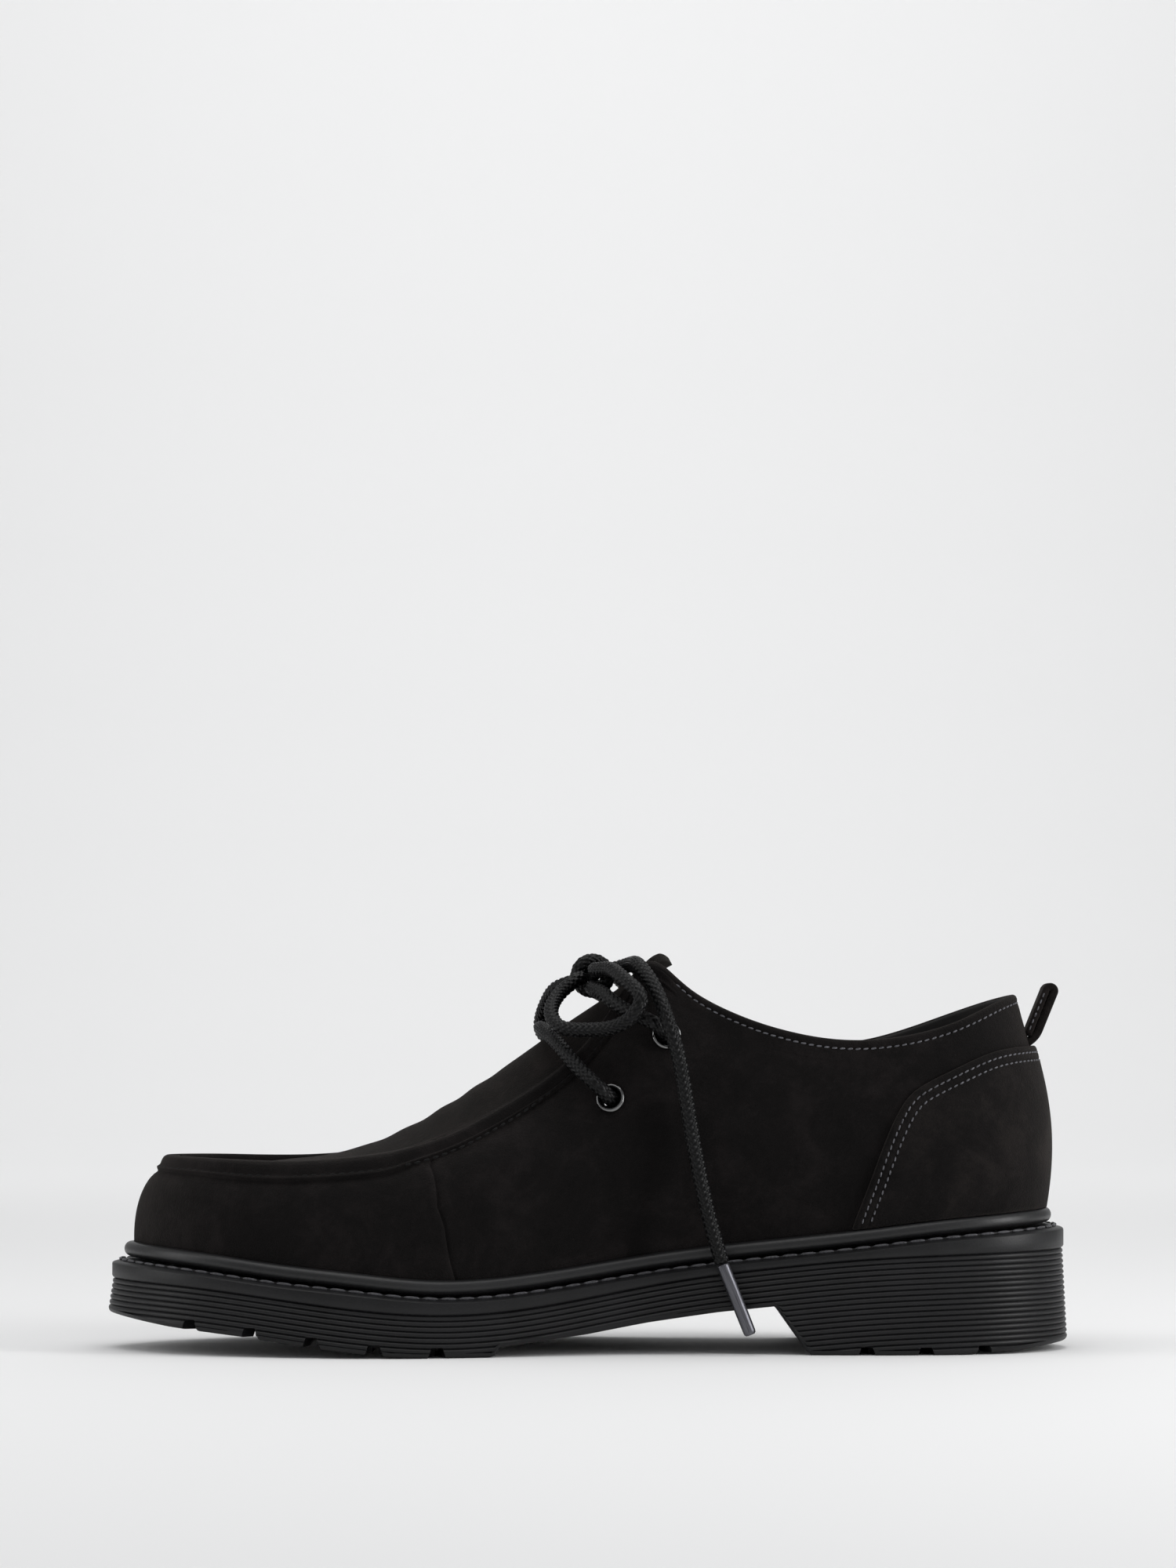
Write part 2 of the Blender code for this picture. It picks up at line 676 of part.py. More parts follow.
def build_upper(collection):
    """Side wall, quarters and apron as one shell on columns, with its rolled seam as a step."""
    stations = upper_stations()
    front = [s for s in stations if s >= THROAT - 1e-6]
    vertices = []
    columns = {"medial": [], "lateral": []}

    def push(points):
        start = len(vertices)
        vertices.extend(points)
        return list(range(start, start + len(points)))

    for side in ("medial", "lateral"):
        for i, station in enumerate(stations):
            ends = i in (0, len(stations) - 1)
            if ends and side == "lateral":
                columns[side].append(columns["medial"][i])
            else:
                columns[side].append(push(wall_column(side, arc_of(side, station))))
    faces = []
    for side in ("medial", "lateral"):
        for left, right in zip(columns[side], columns[side][1:]):
            quads = strip_faces(left, right)
            faces += quads if side == "medial" else [tuple(reversed(q)) for q in quads]
    first = len(stations) - len(front)
    spans = []
    for i, station in enumerate(front):
        near = columns["medial"][first + i][-1]
        far = columns["lateral"][first + i][-1]
        if i == len(front) - 1:
            spans.append([near] * (2 * APRON_STEPS + 1))
        else:
            spans.append([near] + push(apron_section(station)) + [far])
    for low, high in zip(spans, spans[1:]):
        for quad in strip_faces(low, high):
            corners = tuple(dict.fromkeys(quad))
            if len(corners) > 2:
                faces.append(tuple(reversed(corners)))
    thing = add_object("upper", collection, "nubuck", vertices=vertices, faces=faces)
    tidy_surface(thing, probe=(0.0, 0.0, 0.03))
    thicken(thing, WALL)
    return thing


def build_tongue(collection):
    """Arched flap from the apron's end to the collar, tucked under both facings."""
    first = THROAT - THROAT_SPLIT
    stations = np.linspace(first, CORNER, TONGUE_SECTIONS)
    vertices = []
    rows = []
    for station in stations:
        ridge = ridge_point(station)
        halves = {}
        for side in ("medial", "lateral"):
            arc = arc_of(side, station)
            points = []
            for down in (TONGUE_TUCK, TONGUE_TUCK * 0.5, 0.0):
                t = share_below_edge(side, arc, down)
                inside = wall_normal(side, arc, t) * -(WALL + TONGUE_CLEAR)
                points.append(wall_point(side, arc, t) + inside)
            tangent = points[2] - points[1]
            tangent /= np.linalg.norm(tangent)
            halves[side] = points + arch_half(points[2], tangent, ridge, APRON_STEPS)
        row = halves["medial"] + halves["lateral"][-2::-1]
        rows.append(list(range(len(vertices), len(vertices) + len(row))))
        vertices.extend(row)
    faces = []
    for low, high in zip(rows, rows[1:]):
        faces += strip_faces(low, high)
    thing = add_object("tongue", collection, "nubuck", vertices=vertices, faces=faces)
    tidy_surface(thing, probe=(0.03, 0.0, 0.05))
    thicken(thing, TONGUE_THICK)
    return thing


def sole_column(side, station):
    """Outer points of one sole column, from its bottom edge to the lip's inner edge."""
    point, inward, _ = plan_at(side, arc_of(side, station))
    top = bead_top(station)
    groove = float(FIRST_GROOVE(station)[0, 0])
    bottom = underside(station)
    depth = groove - bottom
    rows = [(BASE_CHAMFER, bottom), (0.0, bottom + BASE_CHAMFER)]
    count = int(HEEL_STACK / RIB_PITCH)
    ribs = []
    for k in range(count):
        for part, cut in ((0.0, RIB_DEPTH), (0.5, 0.0)):
            z = groove - (k + part) * RIB_PITCH
            flat = bottom + BASE_CHAMFER
            share = min(1.0, max(0.0, (groove - z) / max(depth - BASE_CHAMFER, 1e-6)))
            ribs.append((RIB_INSET * (1 - share) + cut, z) if z > flat else (0.0, flat))
    rows += reversed(ribs)
    rows += [
        (LIP_INSET, groove + BAND_LIFT),
        (LIP_INSET, top - LIP_DROP),
        (UPPER_INSET - GAP - BEAD_REACH - BEAD_CLEAR, top - LEDGE_DROP),
        (UPPER_INSET - GAP, top - LEDGE_DROP),
    ]
    return [np.array([*(point + inward * inset), z]) for inset, z in rows]


def build_sole(collection, cutters):
    """Closed loft of columns: side with its ribs, flat strips across the bottom and the top."""
    vertices = []
    loops = {"medial": [], "lateral": []}
    for side in ("medial", "lateral"):
        for i, station in enumerate(SOLE_STATIONS):
            ends = i in (0, len(SOLE_STATIONS) - 1)
            if ends and side == "lateral":
                loops[side].append(loops["medial"][i])
                continue
            points = sole_column(side, station)
            loops[side].append(list(range(len(vertices), len(vertices) + len(points))))
            vertices.extend(points)
    faces = []
    for side in ("medial", "lateral"):
        for left, right in zip(loops[side], loops[side][1:]):
            quads = strip_faces(left, right)
            faces += quads if side == "medial" else [tuple(reversed(q)) for q in quads]
    for level, turn in ((0, False), (-1, True)):
        for i in range(len(SOLE_STATIONS) - 1):
            quad = (
                loops["medial"][i][level],
                loops["medial"][i + 1][level],
                loops["lateral"][i + 1][level],
                loops["lateral"][i][level],
            )
            corners = tuple(dict.fromkeys(quad))
            if len(corners) > 2:
                faces.append(corners if turn else tuple(reversed(corners)))
    thing = add_object("outsole", collection, "rubber", vertices=vertices, faces=faces)
    tidy_surface(thing)
    face_outwards(thing)
    notch = build_notches(cutters)
    cut = thing.modifiers.new("Notches", "BOOLEAN")
    cut.operation = "DIFFERENCE"
    cut.solver = "EXACT"
    cut.object = notch
    return thing


def notch_places():
    places = [
        (-FOREFOOT_NOTCH_START - k * FOREFOOT_NOTCH_PITCH, FOREFOOT_NOTCH_HEIGHT)
        for k in range(FOREFOOT_NOTCHES)
    ]
    places += [
        (HEEL_NOTCH_START + k * HEEL_NOTCH_PITCH, HEEL_NOTCH_HEIGHT)
        for k in range(HEEL_NOTCHES)
    ]
    return places


def build_notches(cutters):
    """Blind pockets along the bottom edge: a tapered block for each place and side."""
    bm = bmesh.new()
    for x, height in notch_places():
        station = station_at(x)
        for side in ("medial", "lateral"):
            point, inward, _ = plan_at(side, arc_of(side, station))
            across = np.array([inward[1], -inward[0]])
            corners = []
            low = underside(station) - NOTCH_UNDER
            high = underside(station) + height
            for z, half in ((low, NOTCH_WIDTH / 2 + NOTCH_SLOPE), (high, NOTCH_WIDTH / 2 - NOTCH_SLOPE / 2)):
                for reach in (-NOTCH_OUT, NOTCH_REACH):
                    for way in (-1, 1):
                        spot = point + inward * reach + across * way * half
                        corners.append(bm.verts.new((*spot, z)))
            bmesh.ops.convex_hull(bm, input=corners)
    notch = add_object("notch_cutter", cutters, "rubber", bm=bm)
    face_outwards(notch)
    notch.hide_render = True
    notch.display_type = "WIRE"
    return notch


def ring_sections(sections, close_ends=False):
    """Vertices and faces of a ring or tube through closed sections of equal point counts."""
    count = len(sections[0])
    vertices = [p for section in sections for p in section]
    faces = []
    spans = len(sections) if not close_ends else len(sections) - 1
    for i in range(spans):
        j = (i + 1) % len(sections)
        for k in range(count):
            m = (k + 1) % count
            faces.append((i * count + k, i * count + m, j * count + m, j * count + k))
    if close_ends:
        faces.append(tuple(range(count)))
        faces.append(tuple(range(len(vertices) - count, len(vertices)))[::-1])
    return vertices, faces


def build_welt(collection):
    """Half-round bead round the foot of the upper."""
    sections = []
    places = [("medial", s) for s in SOLE_STATIONS] + [("lateral", s) for s in SOLE_STATIONS[-2:0:-1]]
    for side, station in places:
        point, inward, _ = plan_at(side, arc_of(side, station))
        top = bead_top(station)
        middle = top - BEAD_HEIGHT / 2
        section = []
        for k in range(BEAD_SIDES + 1):
            angle = math.pi * (k / BEAD_SIDES) - math.pi / 2
            inset = UPPER_INSET - GAP - BEAD_REACH * math.cos(angle)
            z = middle + BEAD_HEIGHT / 2 * math.sin(angle)
            section.append(np.array([*(point + inward * inset), z]))
        sections.append(section)
    vertices, faces = ring_sections(sections)
    thing = add_object("welt", collection, "rubber", vertices=vertices, faces=faces)
    face_outwards(thing)
    return thing


def build_insole(collection):
    """Footbed plate inside the foot of the upper."""
    inset = UPPER_INSET + WALL + CLEAR
    vertices = []
    rims = {"medial": [], "lateral": []}
    for side in ("medial", "lateral"):
        for i, station in enumerate(SOLE_STATIONS):
            ends = i in (0, len(SOLE_STATIONS) - 1)
            if ends and side == "lateral":
                rims[side].append(rims["medial"][i])
                continue
            point, inward, _ = plan_at(side, arc_of(side, station))
            low = bead_top(station) - LEDGE_DROP + GAP
            spot = point + inward * inset
            rims[side].append([len(vertices), len(vertices) + 1])
            vertices.append(np.array([*spot, low]))
            vertices.append(np.array([*spot, low + INSOLE_THICK]))
    faces = []
    for side in ("medial", "lateral"):
        for left, right in zip(rims[side], rims[side][1:]):
            quads = strip_faces(left, right)
            faces += quads if side == "medial" else [tuple(reversed(q)) for q in quads]
    for level in (0, 1):
        for i in range(len(SOLE_STATIONS) - 1):
            quad = (
                rims["medial"][i][level],
                rims["medial"][i + 1][level],
                rims["lateral"][i + 1][level],
                rims["lateral"][i][level],
            )
            corners = tuple(dict.fromkeys(quad))
            if len(corners) > 2:
                faces.append(corners if level else tuple(reversed(corners)))
    thing = add_object("insole", collection, "footbed", vertices=vertices, faces=faces)
    tidy_surface(thing)
    face_outwards(thing)
    return thing


def build_counter(collection):
    """Overlay round the heel, standing off the wall's outer face."""
    edge = smooth_spline([r[0] for r in COUNTER_EDGE], [r[1] * HEEL_HEIGHT for r in COUNTER_EDGE])
    stations = [s for s in upper_stations() if s < COUNTER_EDGE[-1][0] - 0.004]
    stations.append(COUNTER_EDGE[-1][0] - 0.003)
    vertices = []
    columns = {"medial": [], "lateral": []}
    for side in ("medial", "lateral"):
        for i, station in enumerate(stations):
            if i == 0 and side == "lateral":
                columns[side].append(columns["medial"][0])
                continue
            arc = arc_of(side, station)
            low = share_at_height(side, arc, bead_top(station) + CLEAR)
            high = share_at_height(side, arc, float(edge(station)[0, 0]))
            column = []
            for k in range(COUNTER_ROWS + 1):
                t = low + (high - low) * k / COUNTER_ROWS
                column.append(wall_point(side, arc, t) + wall_normal(side, arc, t) * CLEAR)
            columns[side].append(list(range(len(vertices), len(vertices) + len(column))))
            vertices.extend(column)
    faces = []
    for side in ("medial", "lateral"):
        for left, right in zip(columns[side], columns[side][1:]):
            quads = strip_faces(left, right)
            faces += quads if side == "medial" else [tuple(reversed(q)) for q in quads]
    thing = add_object("heel_counter", collection, "nubuck_edge", vertices=vertices, faces=faces)
    tidy_surface(thing, probe=(0.10, 0.0, 0.06))
    thicken(thing, COUNTER_THICK, inward=False)
    return thing


def build_pull_loop(collection):
    """Folded strap at the back of the collar, a hairpin seen from the side."""
    t = share_at_height("medial", 0.0, LOOP_FOOT * HEEL_HEIGHT)
    foot = wall_point("medial", 0.0, t) + np.array([CLEAR + LOOP_STRAP / 2, 0.0, 0.0])
    axis = np.array([math.sin(LOOP_LEAN), 0.0, math.cos(LOOP_LEAN)])
    away = np.array([math.cos(LOOP_LEAN), 0.0, -math.sin(LOOP_LEAN)])
    spread = LOOP_STRAP + LOOP_SLIT
    path = [foot + axis * LOOP_REACH * share for share in (0.0, 0.5, 1.0)]
    for k in range(1, 6):
        angle = math.pi * k / 6
        rise = axis * (LOOP_REACH + spread / 2 * math.sin(angle))
        path.append(foot + rise + away * spread / 2 * (1 - math.cos(angle)))
    path += [foot + away * spread + axis * LOOP_REACH * share for share in (1.0, 0.5, -LOOP_TAIL)]
    sections = []
    half = np.array([0.0, LOOP_WIDTH / 2, 0.0])
    for i, point in enumerate(path):
        ahead = path[min(i + 1, len(path) - 1)] - path[max(i - 1, 0)]
        ahead /= np.linalg.norm(ahead)
        side = np.array([-ahead[2], 0.0, ahead[0]]) * LOOP_STRAP / 2
        sections.append([point - side - half, point + side - half, point + side + half, point - side + half])
    vertices, faces = ring_sections(sections, close_ends=True)
    thing = add_object("pull_loop", collection, "webbing", vertices=vertices, faces=faces)
    face_outwards(thing)
    return thing


def eyelet_frame(row, side):
    name, station, share = row
    arc = arc_of(side, station)
    return wall_point(side, arc, share), wall_normal(side, arc, share)


def build_eyelets(collection, cutters, upper):
    """Turned rims on both sides and the holes that their barrels pass through."""
    things = []
    drill = bmesh.new()
    for row in EYELETS:
        for side in ("medial", "lateral"):
            place, normal = eyelet_frame(row, side)
            turn = Vector((0, 0, 1)).rotation_difference(Vector(normal))
            profile = [
                (EYELET_HOLE, -WALL - EYELET_TAIL),
                (EYELET_BARREL, -WALL - EYELET_TAIL),
                (EYELET_BARREL, CLEAR),
                (EYELET_OUTER, CLEAR),
                (EYELET_OUTER - EYELET_BEVEL, CLEAR + EYELET_RISE * 0.6),
                (EYELET_OUTER - EYELET_CROWN, CLEAR + EYELET_RISE),
                (EYELET_HOLE, CLEAR + EYELET_RISE * 0.6),
            ]
            sections = []
            for k in range(EYELET_SIDES):
                angle = 2 * math.pi * k / EYELET_SIDES
                sections.append([
                    np.array(place) + np.array(turn @ Vector((r * math.cos(angle), r * math.sin(angle), h)))
                    for r, h in profile
                ])
            vertices, faces = ring_sections(sections)
            name = f"eyelet_{row[0]}_{side}"
            thing = add_object(name, collection, "black_metal", vertices=vertices, faces=faces)
            face_outwards(thing)
            things.append(thing)
            matrix = turn.to_matrix().to_4x4()
            matrix.translation = Vector(place) - Vector(normal) * WALL / 2
            bmesh.ops.create_cone(
                drill, cap_ends=True, segments=EYELET_SIDES, depth=DRILL_DEPTH,
                radius1=EYELET_BARREL + GAP, radius2=EYELET_BARREL + GAP, matrix=matrix,
            )
    cutter = add_object("eyelet_drill", cutters, "black_metal", bm=drill)
    face_outwards(cutter)
    cutter.hide_render = True
    cutter.display_type = "WIRE"
    cut = upper.modifiers.new("Eyelet holes", "BOOLEAN")
    cut.operation = "DIFFERENCE"
    cut.solver = "EXACT"
    cut.object = cutter
    return things


def placed(route):
    """Route in metres, with its heights taken from the instep height."""
    return [(x, y, share * INSTEP_HEIGHT) for x, y, share in route]


def mirrored(points):
    return [(x, -y, z) for x, y, z in points]


def build_cord(name, collection, points, spacing=CORD_SPACING):
    """Round lace through a smooth curve of its route's points."""
    route = np.array(points, float)
    knots = np.concatenate([[0.0], np.cumsum(np.linalg.norm(np.diff(route, axis=0), axis=1))])
    curve = smooth_spline(knots, route)
    count = max(4, int(round(knots[-1] / (LACE_DIAMETER * spacing))) + 1)
    line = bpy.data.curves.new(name, "CURVE")
    line.dimensions = "3D"
    line.bevel_depth = LACE_DIAMETER / 2
    line.bevel_resolution = 2
    line.use_fill_caps = True
    spline = line.splines.new("POLY")
    spline.points.add(count - 1)
    for point, place in zip(spline.points, curve(np.linspace(0, knots[-1], count))):
        point.co = (*place, 1.0)
    thing = bpy.data.objects.new(name, line)
    collection.objects.link(thing)
    line.materials.append(finish_material("cord"))
    return thing


def lace_start(row, side):
    """Place over an eyelet where a bar begins."""
    place, normal = eyelet_frame(row, side)
    return place + normal * (CLEAR + EYELET_RISE + GAP + LACE_DIAMETER / 2 + CLEAR)


def build_lace(collection):
    lower, upper = EYELETS
    near = [lace_start(lower, "medial")] + placed(LOWER_BAR)
    far = [lace_start(lower, "lateral")] + mirrored(placed(LOWER_BAR[:-1]))
    build_cord("lace_lower_bar", collection, near + far[::-1])
    build_cord("lace_upper_medial", collection, [lace_start(upper, "medial")] + placed(UPPER_BAR))
    build_cord("lace_upper_lateral", collection, [lace_start(upper, "lateral")] + mirrored(placed(UPPER_BAR)))
    build_cord("lace_loop_medial", collection, placed(BOW_LOOP), LOOP_SPACING)
    build_cord("lace_loop_lateral", collection, placed(FAR_LOOP), LOOP_SPACING)
    build_cord("lace_end_medial", collection, placed(BOW_END))
    build_cord("lace_end_lateral", collection, placed(FAR_END))
    knot = bmesh.new()
    bmesh.ops.create_uvsphere(knot, u_segments=12, v_segments=8, radius=KNOT_RADIUS)
    thing = add_object("lace_knot", collection, "cord", bm=knot)
    thing.location = placed([KNOT_CENTRE])[0]
    thing.data.shade_smooth()


def build_aglets(collection):
    """Metal sleeve at each end of the lace."""
    for side, route in (("medial", BOW_END), ("lateral", FAR_END)):
        direction = Vector(AGLET_LINES[side]).normalized()
        start = Vector(placed(route)[-1]) + direction * CLEAR
        pin = bmesh.new()
        bmesh.ops.create_cone(
            pin, cap_ends=True, segments=12, depth=AGLET_LENGTH,
            radius1=AGLET_DIAMETER / 2, radius2=AGLET_DIAMETER / 2,
        )
        thing = add_object(f"aglet_{side}", collection, "steel", bm=pin)
        thing.rotation_mode = "QUATERNION"
        thing.rotation_quaternion = Vector((0, 0, 1)).rotation_difference(direction)
        thing.location = start + direction * AGLET_LENGTH / 2


def main():
    clear_scene()
    pieces = make_collection("moc_toe_shoe")
    cutters = make_collection("cutters")
    build_sole(pieces, cutters)
    build_welt(pieces)
    build_insole(pieces)
    upper = build_upper(pieces)
    build_tongue(pieces)
    build_counter(pieces)
    build_pull_loop(pieces)
    build_eyelets(pieces, cutters, upper)
    build_lace(pieces)
    build_aglets(pieces)


main()
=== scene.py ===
# %% [markdown]
# # Dressing a moc-toe lace-up shoe
#
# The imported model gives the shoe's pieces as plain solids. This lesson lays the real surfaces over
# them: nubuck with a rolled seam, a rubber sole with fine ribs, braided lace, eyelets and stitches.
# Everything is in metres, with the toe towards -X, the heel towards +X and the inner side towards -Y.

import math

import bmesh
import bpy
import numpy as np
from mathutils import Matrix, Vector


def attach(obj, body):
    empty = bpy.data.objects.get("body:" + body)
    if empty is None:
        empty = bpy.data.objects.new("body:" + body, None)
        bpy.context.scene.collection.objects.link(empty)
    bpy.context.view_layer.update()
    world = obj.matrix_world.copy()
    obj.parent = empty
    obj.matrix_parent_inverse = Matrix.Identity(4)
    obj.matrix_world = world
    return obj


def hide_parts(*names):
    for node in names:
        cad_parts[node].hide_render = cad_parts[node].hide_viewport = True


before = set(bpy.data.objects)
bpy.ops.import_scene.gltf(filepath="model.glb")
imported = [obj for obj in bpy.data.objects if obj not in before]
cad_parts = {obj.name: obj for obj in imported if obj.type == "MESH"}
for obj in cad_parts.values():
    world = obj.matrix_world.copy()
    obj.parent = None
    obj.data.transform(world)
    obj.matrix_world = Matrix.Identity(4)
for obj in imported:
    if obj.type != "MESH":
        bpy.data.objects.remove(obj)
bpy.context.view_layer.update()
print("pieces in the packed model:", len(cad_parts))

# %% [markdown]
# ## Camera, floor and light
#
# The shoe is seen square from its inner side, with the lens a little above the floor. A shifted lens
# keeps the uprights upright, so the shift only moves the picture. The floor runs back into a curved
# sweep, as in a product studio, so that no horizon shows. One broad soft light hangs over the shoe and
# a strip light stands at each end, which is what draws the bright rims on the heel and the toe.

# %% Camera
PHOTO_WIDTH = 1500
PHOTO_HEIGHT = 2000
FOCAL_PIXELS = 5291
SENSOR = 36.0
HORIZON_ROW = 1343
SIDE_SHIFT = 0.00017
CAMERA_DISTANCE = 1.3
CAMERA_HEIGHT = 0.092
camera_data = bpy.data.cameras.new("side_view")
camera_data.sensor_fit = "HORIZONTAL"
camera_data.sensor_width = SENSOR
camera_data.lens = FOCAL_PIXELS * SENSOR / PHOTO_WIDTH
camera_data.shift_x = SIDE_SHIFT
camera_data.shift_y = (HORIZON_ROW - PHOTO_HEIGHT / 2) / PHOTO_WIDTH
camera_data.clip_start = 0.02
camera = bpy.data.objects.new("side_view", camera_data)
camera.location = (0.0, -CAMERA_DISTANCE, CAMERA_HEIGHT)
camera.rotation_euler = (math.radians(90), 0.0, 0.0)
bpy.context.scene.collection.objects.link(camera)
bpy.context.scene.camera = camera
bpy.context.scene.view_settings.view_transform = "Standard"
print("lens", round(camera_data.lens, 1), "mm")


# %% Colour and node helpers
def linear(code):
    """Turns an sRGB hex colour into the linear values that a shader works in."""
    values = []
    for start in (1, 3, 5):
        share = int(code[start:start + 2], 16) / 255
        low = share / 12.92
        high = ((share + 0.055) / 1.055) ** 2.4
        values.append(low if share <= 0.04045 else high)
    return (*values, 1.0)


def add_node(tree, kind, settings=None, values=None, links=None):
    """Adds one shader node with its settings, its socket values and its links."""
    made = tree.nodes.new(kind)
    for key, value in (settings or {}).items():
        setattr(made, key, value)
    for key, value in (values or {}).items():
        made.inputs[key].default_value = value
    for key, source in (links or {}).items():
        tree.links.new(source, made.inputs[key])
    return made


def start_material(name, values):
    """Starts a material: the material, its node tree and its shader with these values."""
    material = bpy.data.materials.new(name)
    material.use_nodes = True
    shader = material.node_tree.nodes["Principled BSDF"]
    for key, value in values.items():
        shader.inputs[key].default_value = value
    return material, material.node_tree, shader


def set_stops(ramp, stops):
    """Sets the stops of a colour ramp from (place, hex colour) pairs."""
    elements = ramp.color_ramp.elements
    while len(elements) < len(stops):
        elements.new(0.5)
    for element, (place, code) in zip(elements, stops):
        element.position = place
        element.color = linear(code)


# %% Floor and sweep
def deselect():
    """Leaves edit mode and clears the selection, as every operator here needs."""
    if bpy.context.object and bpy.context.object.mode != "OBJECT":
        bpy.ops.object.mode_set(mode="OBJECT")
    bpy.ops.object.select_all(action="DESELECT")


deselect()
SWEEP_WIDTH = 10.0
SWEEP_FRONT = -2.6
SWEEP_RUN = 8.0
SWEEP_DEPTH = 2.2
SWEEP_RADIUS = 1.0
bpy.ops.mesh.primitive_grid_add(x_subdivisions=2, y_subdivisions=40, size=2.0)
sweep = bpy.context.object
sweep.name = "studio_sweep"
for vertex in sweep.data.vertices:
    travel = SWEEP_FRONT + (vertex.co.y + 1.0) / 2.0 * SWEEP_RUN
    x = vertex.co.x * SWEEP_WIDTH / 2
    if travel < SWEEP_DEPTH:
        vertex.co = (x, travel, 0.0)
    else:
        angle = min((travel - SWEEP_DEPTH) / SWEEP_RADIUS, math.pi / 2)
        rest = max(0.0, travel - SWEEP_DEPTH - SWEEP_RADIUS * math.pi / 2)
        vertex.co = (
            x,
            SWEEP_DEPTH + SWEEP_RADIUS * math.sin(angle),
            SWEEP_RADIUS * (1 - math.cos(angle)) + rest,
        )
bpy.ops.object.shade_smooth()
paper = start_material(
    "matt_white_paper", {"Base Color": linear("#f2f2f2"), "Roughness": 0.95, "Specular IOR Level": 0.1}
)[0]
sweep.data.materials.append(paper)


# %% Lights
def add_light(name, place, aim, size, power):
    """Adds a rectangular soft light at a place, turned towards its aim."""
    data = bpy.data.lights.new(name, "AREA")
    data.shape = "RECTANGLE"
    data.size, data.size_y = size
    data.energy = power
    lamp = bpy.data.objects.new(name, data)
    lamp.location = place
    lamp.rotation_euler = (Vector(aim) - Vector(place)).to_track_quat("-Z", "Y").to_euler()
    bpy.context.scene.collection.objects.link(lamp)


LIGHTS = (
    # name, place, aim, width and height, watts
    ("overhead_softbox", (0.05, -0.05, 1.45), (0.0, 0.0, 0.0), (1.9, 1.3), 12.5),
    ("heel_strip", (0.95, -0.35, 0.30), (0.05, 0.0, 0.06), (0.30, 0.9), 6.5),
    ("toe_strip", (-0.95, -0.10, 0.40), (-0.05, 0.0, 0.05), (0.30, 0.9), 2.2),
    ("front_fill", (0.1, -1.9, 1.0), (0.0, 0.0, 0.05), (1.8, 1.0), 1.4),
    ("background_wash", (0.0, 1.5, 1.9), (0.0, 3.0, 0.7), (2.6, 0.8), 27.0),
)
for light_row in LIGHTS:
    add_light(*light_row)
world = bpy.data.worlds.new("studio_air")
world.use_nodes = True
air = world.node_tree.nodes["Background"]
air.inputs["Color"].default_value = linear("#f4f5f7")
air.inputs["Strength"].default_value = 0.32
bpy.context.scene.world = world
print("lights:", len(LIGHTS))

# %% [markdown]
# ## The last, in numbers
#
# A shoe is built over a last, a foot-shaped form. The source of the model keeps that form as a few
# named rows: the sole's outline, the edge of the side wall and the ridge of the instep. The same rows
# are used here, with a place on the loop round the shoe (0 at the heel, 1 at the toe, 2 back at the
# heel) and a share of the wall's height, so the fine surfaces lie exactly where the solids are.

# %% Sizes of the shoe
SIDES = ("medial", "lateral")
LENGTH = 0.300
BALL_WIDTH = 0.1085
HEEL_STACK = 0.0440
HEEL_HEIGHT = 0.1105
INSTEP_HEIGHT = 0.1200
TOE_HEIGHT = 0.0582
WALL = 0.0022
GAP = 0.0003
CLEAR = 0.0005
LIP_INSET = 0.0011
LIP_DROP = 0.0071
LEDGE_DROP = 0.0054
BEAD_HEIGHT = 0.0048
BEAD_REACH = 0.0027
UPPER_INSET = 0.0080
FOOT_DROP = 0.0050
BAND_LIFT = 0.0009
RIB_PITCH = 0.00165
RIB_DEPTH = 0.0006
RIB_INSET = 0.0014
BASE_CHAMFER = 0.0014
ROLL_HEIGHT = 0.0028
COUNTER_THICK = 0.0012
TONGUE_THICK = 0.0024
TONGUE_TUCK = 0.0085
TONGUE_CLEAR = 0.0009
CORNER = 0.455
ROLL_FADE = 0.030
LACE_DIAMETER = 0.0047

SOLE_OUTLINE = (
    # share of the length from the heel, half width on the inner side and on the outer side
    (0.010, 0.128, 0.128),
    (0.030, 0.212, 0.212),
    (0.065, 0.292, 0.294),
    (0.125, 0.350, 0.356),
    (0.205, 0.366, 0.376),
    (0.300, 0.352, 0.383),
    (0.410, 0.336, 0.398),
    (0.500, 0.371, 0.430),
    (0.600, 0.450, 0.477),
    (0.700, 0.500, 0.500),
    (0.785, 0.481, 0.483),
    (0.860, 0.421, 0.420),
    (0.920, 0.335, 0.323),
    (0.965, 0.218, 0.198),
    (0.990, 0.110, 0.085),
)
TOE_TIP_OFFSET = -0.012
SOLE_LINES = (
    # station, top of the bead, first groove, in heel stacks
    (0.000, 1.000, 0.711),
    (0.077, 0.964, 0.698),
    (0.143, 0.927, 0.684),
    (0.223, 0.864, 0.655),
    (0.300, 0.807, 0.605),
    (0.420, 0.709, 0.492),
    (0.500, 0.620, 0.390),
    (0.580, 0.546, 0.308),
    (0.650, 0.528, 0.288),
    (0.737, 0.580, 0.330),
    (0.817, 0.634, 0.398),
    (0.900, 0.702, 0.462),
    (1.000, 0.757, 0.497),
)
SOLE_BOTTOM = (
    # station, height of the underside in heel stacks
    (0.0000, 0.060),
    (0.0600, 0.024),
    (0.1200, 0.000),
    (0.2750, 0.000),
    (0.3100, 0.336),
    (0.3680, 0.294),
    (0.4400, 0.222),
    (0.5000, 0.146),
    (0.5890, 0.066),
    (0.5935, 0.000),
    (0.6750, 0.000),
    (0.6970, 0.009),
    (0.7370, 0.036),
    (0.7770, 0.070),
    (0.8530, 0.141),
    (0.9300, 0.192),
    (1.0000, 0.255),
)
